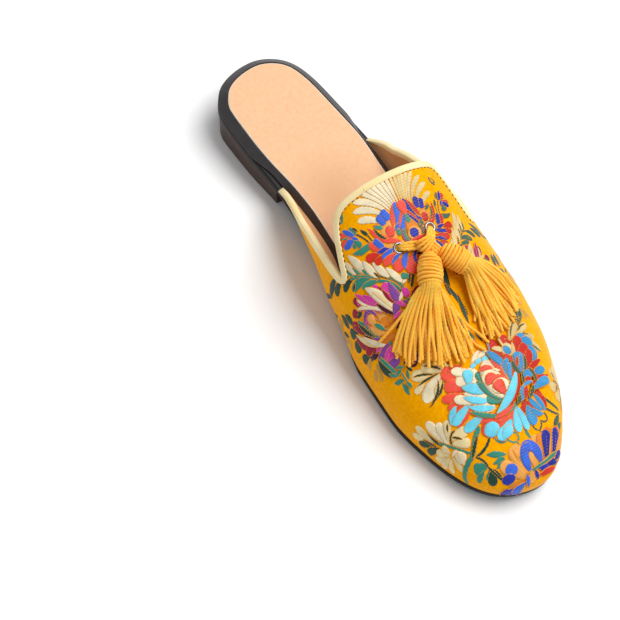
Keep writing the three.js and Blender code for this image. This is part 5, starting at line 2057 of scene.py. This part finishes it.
@dataclass
class Lace:
    """Cotton lace through both eyelets, knotted over the vamp between the tassels.

    Attributes:
        route: girth, share and height over the vamp from one tassel to the other.
        strand_gap: millimetres from one cord's middle to the next.
        pinch: how much of that is left inside an eyelet.
        pinch_heights: heights over the vamp where it is that close, and where it is loose again.
        between: girth and share of the vamp between the eyelets.
        knot_place: girth, share and height over the vamp of the knot's middle.
        knot_ends: the same of two places that the knot lies along.
        knot_turns: for each turn its shift across the knot, half its length and height, and its twist.
        knot_core: for each place across the knot, the radius of its core.
    """

    route: tuple = (
        (-0.012, 0.584, 5.0), (-0.010, 0.575, 4.2), (-0.014, 0.568, 3.4), (-0.036, 0.562, 3.0),
        (-0.070, 0.557, 2.6), (-0.098, 0.5535, 1.9), (-0.112, 0.552, 0.6), (-0.114, 0.552, -1.2),
        (-0.108, 0.551, -3.0), (-0.070, 0.549, -4.1), (-0.030, 0.547, -4.3), (0.010, 0.546, -4.1),
        (0.044, 0.545, -3.0), (0.050, 0.545, -1.2), (0.049, 0.5455, 0.6), (0.040, 0.549, 2.0),
        (0.026, 0.555, 3.4), (0.008, 0.563, 5.2), (0.006, 0.572, 5.4), (0.014, 0.581, 5.0),
        (0.020, 0.589, 5.0))
    strand: float = 0.85
    lay: float = 4.2
    width: float = 4.6
    strand_gap: float = 1.45
    pinch: float = 0.45
    pinch_heights: tuple[float, float] = (0.5, 2.5)
    between: tuple[float, float] = (-0.03, 0.555)
    knot_place: tuple[float, float, float] = (-0.006, 0.565, 5.0)
    knot_ends: tuple = ((-0.050, 0.575, 4.3), (0.060, 0.560, 4.3))
    knot_turns: tuple = (
        (-2.0, 3.6, 1.9, 0.6), (-0.6, 4.2, 2.5, 0.3), (0.8, 4.2, 2.6, -0.3), (2.1, 3.4, 2.0, -0.7))
    knot_core: tuple = ((-2.2, 1.2), (0.0, 1.9), (2.2, 1.2))

    def build(self, tassels: Sequence[bpy.types.Object]) -> None:
        """Three strands side by side, and the turns of the knot.

        Args:
            tassels: the two tassels; not used.
        """
        girth, share, height = (np.array(column) for column in zip(*self.route))
        path = smooth_path(LAST.over(girth, share, height), spacing=0.5)
        out = LAST.normal(np.array(self.between[0]), angle_of(self.between[1]))
        side = unit(np.cross(unit(np.gradient(path, axis=0)), out))
        low, high = self.pinch_heights
        loose = np.clip(((path - LAST.over(*self.between)) @ out - low) / (high - low), 0, 1)
        gap = self.strand_gap * (self.pinch + (1 - self.pinch) * loose)
        cords = CordMesh()
        for offset in (-1.0, 0.0, 1.0):
            cords.add(path + side * (offset * gap)[:, None], self.strand, lay=self.lay)
        lace = settle(
            cords.piece("cotton_lace"), Finish.COTTON, "cotton_cord",
            "lace_bar_medial", "lace_bar_lateral")
        knot = self.knot()

    def knot(self) -> bpy.types.Object:
        """Turns of the lace round itself, over a core.

        Returns:
            The new object.
        """
        centre = LAST.over(*self.knot_place)
        out = LAST.normal(np.array(self.knot_place[0]), angle_of(self.knot_place[1]))
        start, end = (LAST.over(*place) for place in self.knot_ends)
        along = unit(end - start)
        side = np.cross(out, along)
        turn = np.linspace(0, 2 * math.pi, 41)[:, None]
        cords = CordMesh()
        for shift, wide, high, twist in self.knot_turns:
            loop = (
                centre + np.cos(turn) * wide * along + np.sin(turn) * high * out
                + (shift + twist * np.cos(turn)) * side)
            cords.add(loop, self.strand, lay=self.lay)
        across, radius = (np.array(column) for column in zip(*self.knot_core))
        cords.add(centre + across[:, None] * side, radius, sides=12)
        return settle(cords.piece("lace_knot_cotton"), Finish.COTTON, "cotton_cord", "lace_knot")


def looking(place: Vector, aim: Vector) -> Matrix:
    """Matrix of a camera or a lamp at one place that faces another."""
    return Matrix.Translation(place) @ (aim - place).to_track_quat("-Z", "Y").to_matrix().to_4x4()


@dataclass
class Studio:
    """Pale floor, soft light and the camera at the photograph's angle.

    Attributes:
        eye, aim: the camera's place and what it looks at, in millimetres.
        roll: degrees that it is rolled.
        lens: its focal length and its sensor's width.
        key_place, key_aim: where the soft light hangs and what it faces, in metres.
    """

    eye: tuple[float, float, float] = (-251.4, -198.6, 508.4)
    aim: tuple[float, float, float] = (-52.2, -7.4, 20.0)
    roll: float = 15.8
    lens: tuple[float, float] = (70.25, 36.0)
    key_place: tuple[float, float, float] = (0.6, -0.05, 1.3)
    key_aim: tuple[float, float, float] = (0.0, -0.02, 0.02)
    key_size: float = 1.1
    key_power: float = 21.0
    sky: float = 0.47
    floor_reach: float = 3.0

    def camera(self) -> None:
        """Camera with the photograph's frame."""
        data = bpy.data.cameras.new("camera")
        data.lens, data.sensor_width = self.lens
        data.clip_start, data.clip_end = 0.01, 20.0
        eye = bpy.data.objects.new("camera", data)
        roll = Matrix.Rotation(math.radians(self.roll), 4, "Z")
        eye.matrix_world = looking(Vector(self.eye) * MM, Vector(self.aim) * MM) @ roll
        bpy.context.scene.collection.objects.link(eye)
        bpy.context.scene.camera = eye

    def light(self) -> None:
        """Square soft light that faces the shoe, and a white sky."""
        data = bpy.data.lights.new("key", "AREA")
        data.shape = "SQUARE"
        data.size = self.key_size
        data.energy = self.key_power
        lamp = bpy.data.objects.new("key", data)
        lamp.matrix_world = looking(Vector(self.key_place), Vector(self.key_aim))
        bpy.context.scene.collection.objects.link(lamp)
        world = bpy.data.worlds.new("studio")
        world.use_nodes = True
        sky = world.node_tree.nodes["Background"]
        sky.inputs["Color"].default_value = (1.0, 1.0, 1.0, 1.0)
        sky.inputs["Strength"].default_value = self.sky
        bpy.context.scene.world = world

    def build(self) -> None:
        """Camera, light, sky and floor."""
        self.camera()
        self.light()
        bpy.context.scene.view_settings.view_transform = "Standard"
        shape = bmesh.new()
        bmesh.ops.create_grid(shape, x_segments=2, y_segments=2, size=self.floor_reach)
        floor = object_of("floor", shape)
        # White background paper: matt.
        paper = Shading.begin("white_paper")
        paper.fill({"Base Color": linear("#FAFAFA"), "Roughness": 0.9, "Specular IOR Level": 0.1})
        floor.data.materials.append(paper.material)


def main() -> None:
    """Builds the shoe piece by piece."""
    logging.basicConfig(level=logging.INFO, format="%(name)s: %(message)s")
    Studio().build()
    Lace().build([tassel.build() for tassel in TASSELS])
    Bottom().build()
    upper = Upper()
    upper.build()
    Brocade().build(upper.sink)
    Binding().build()
    Eyelets().build()


if __name__ == "__main__":
    main()
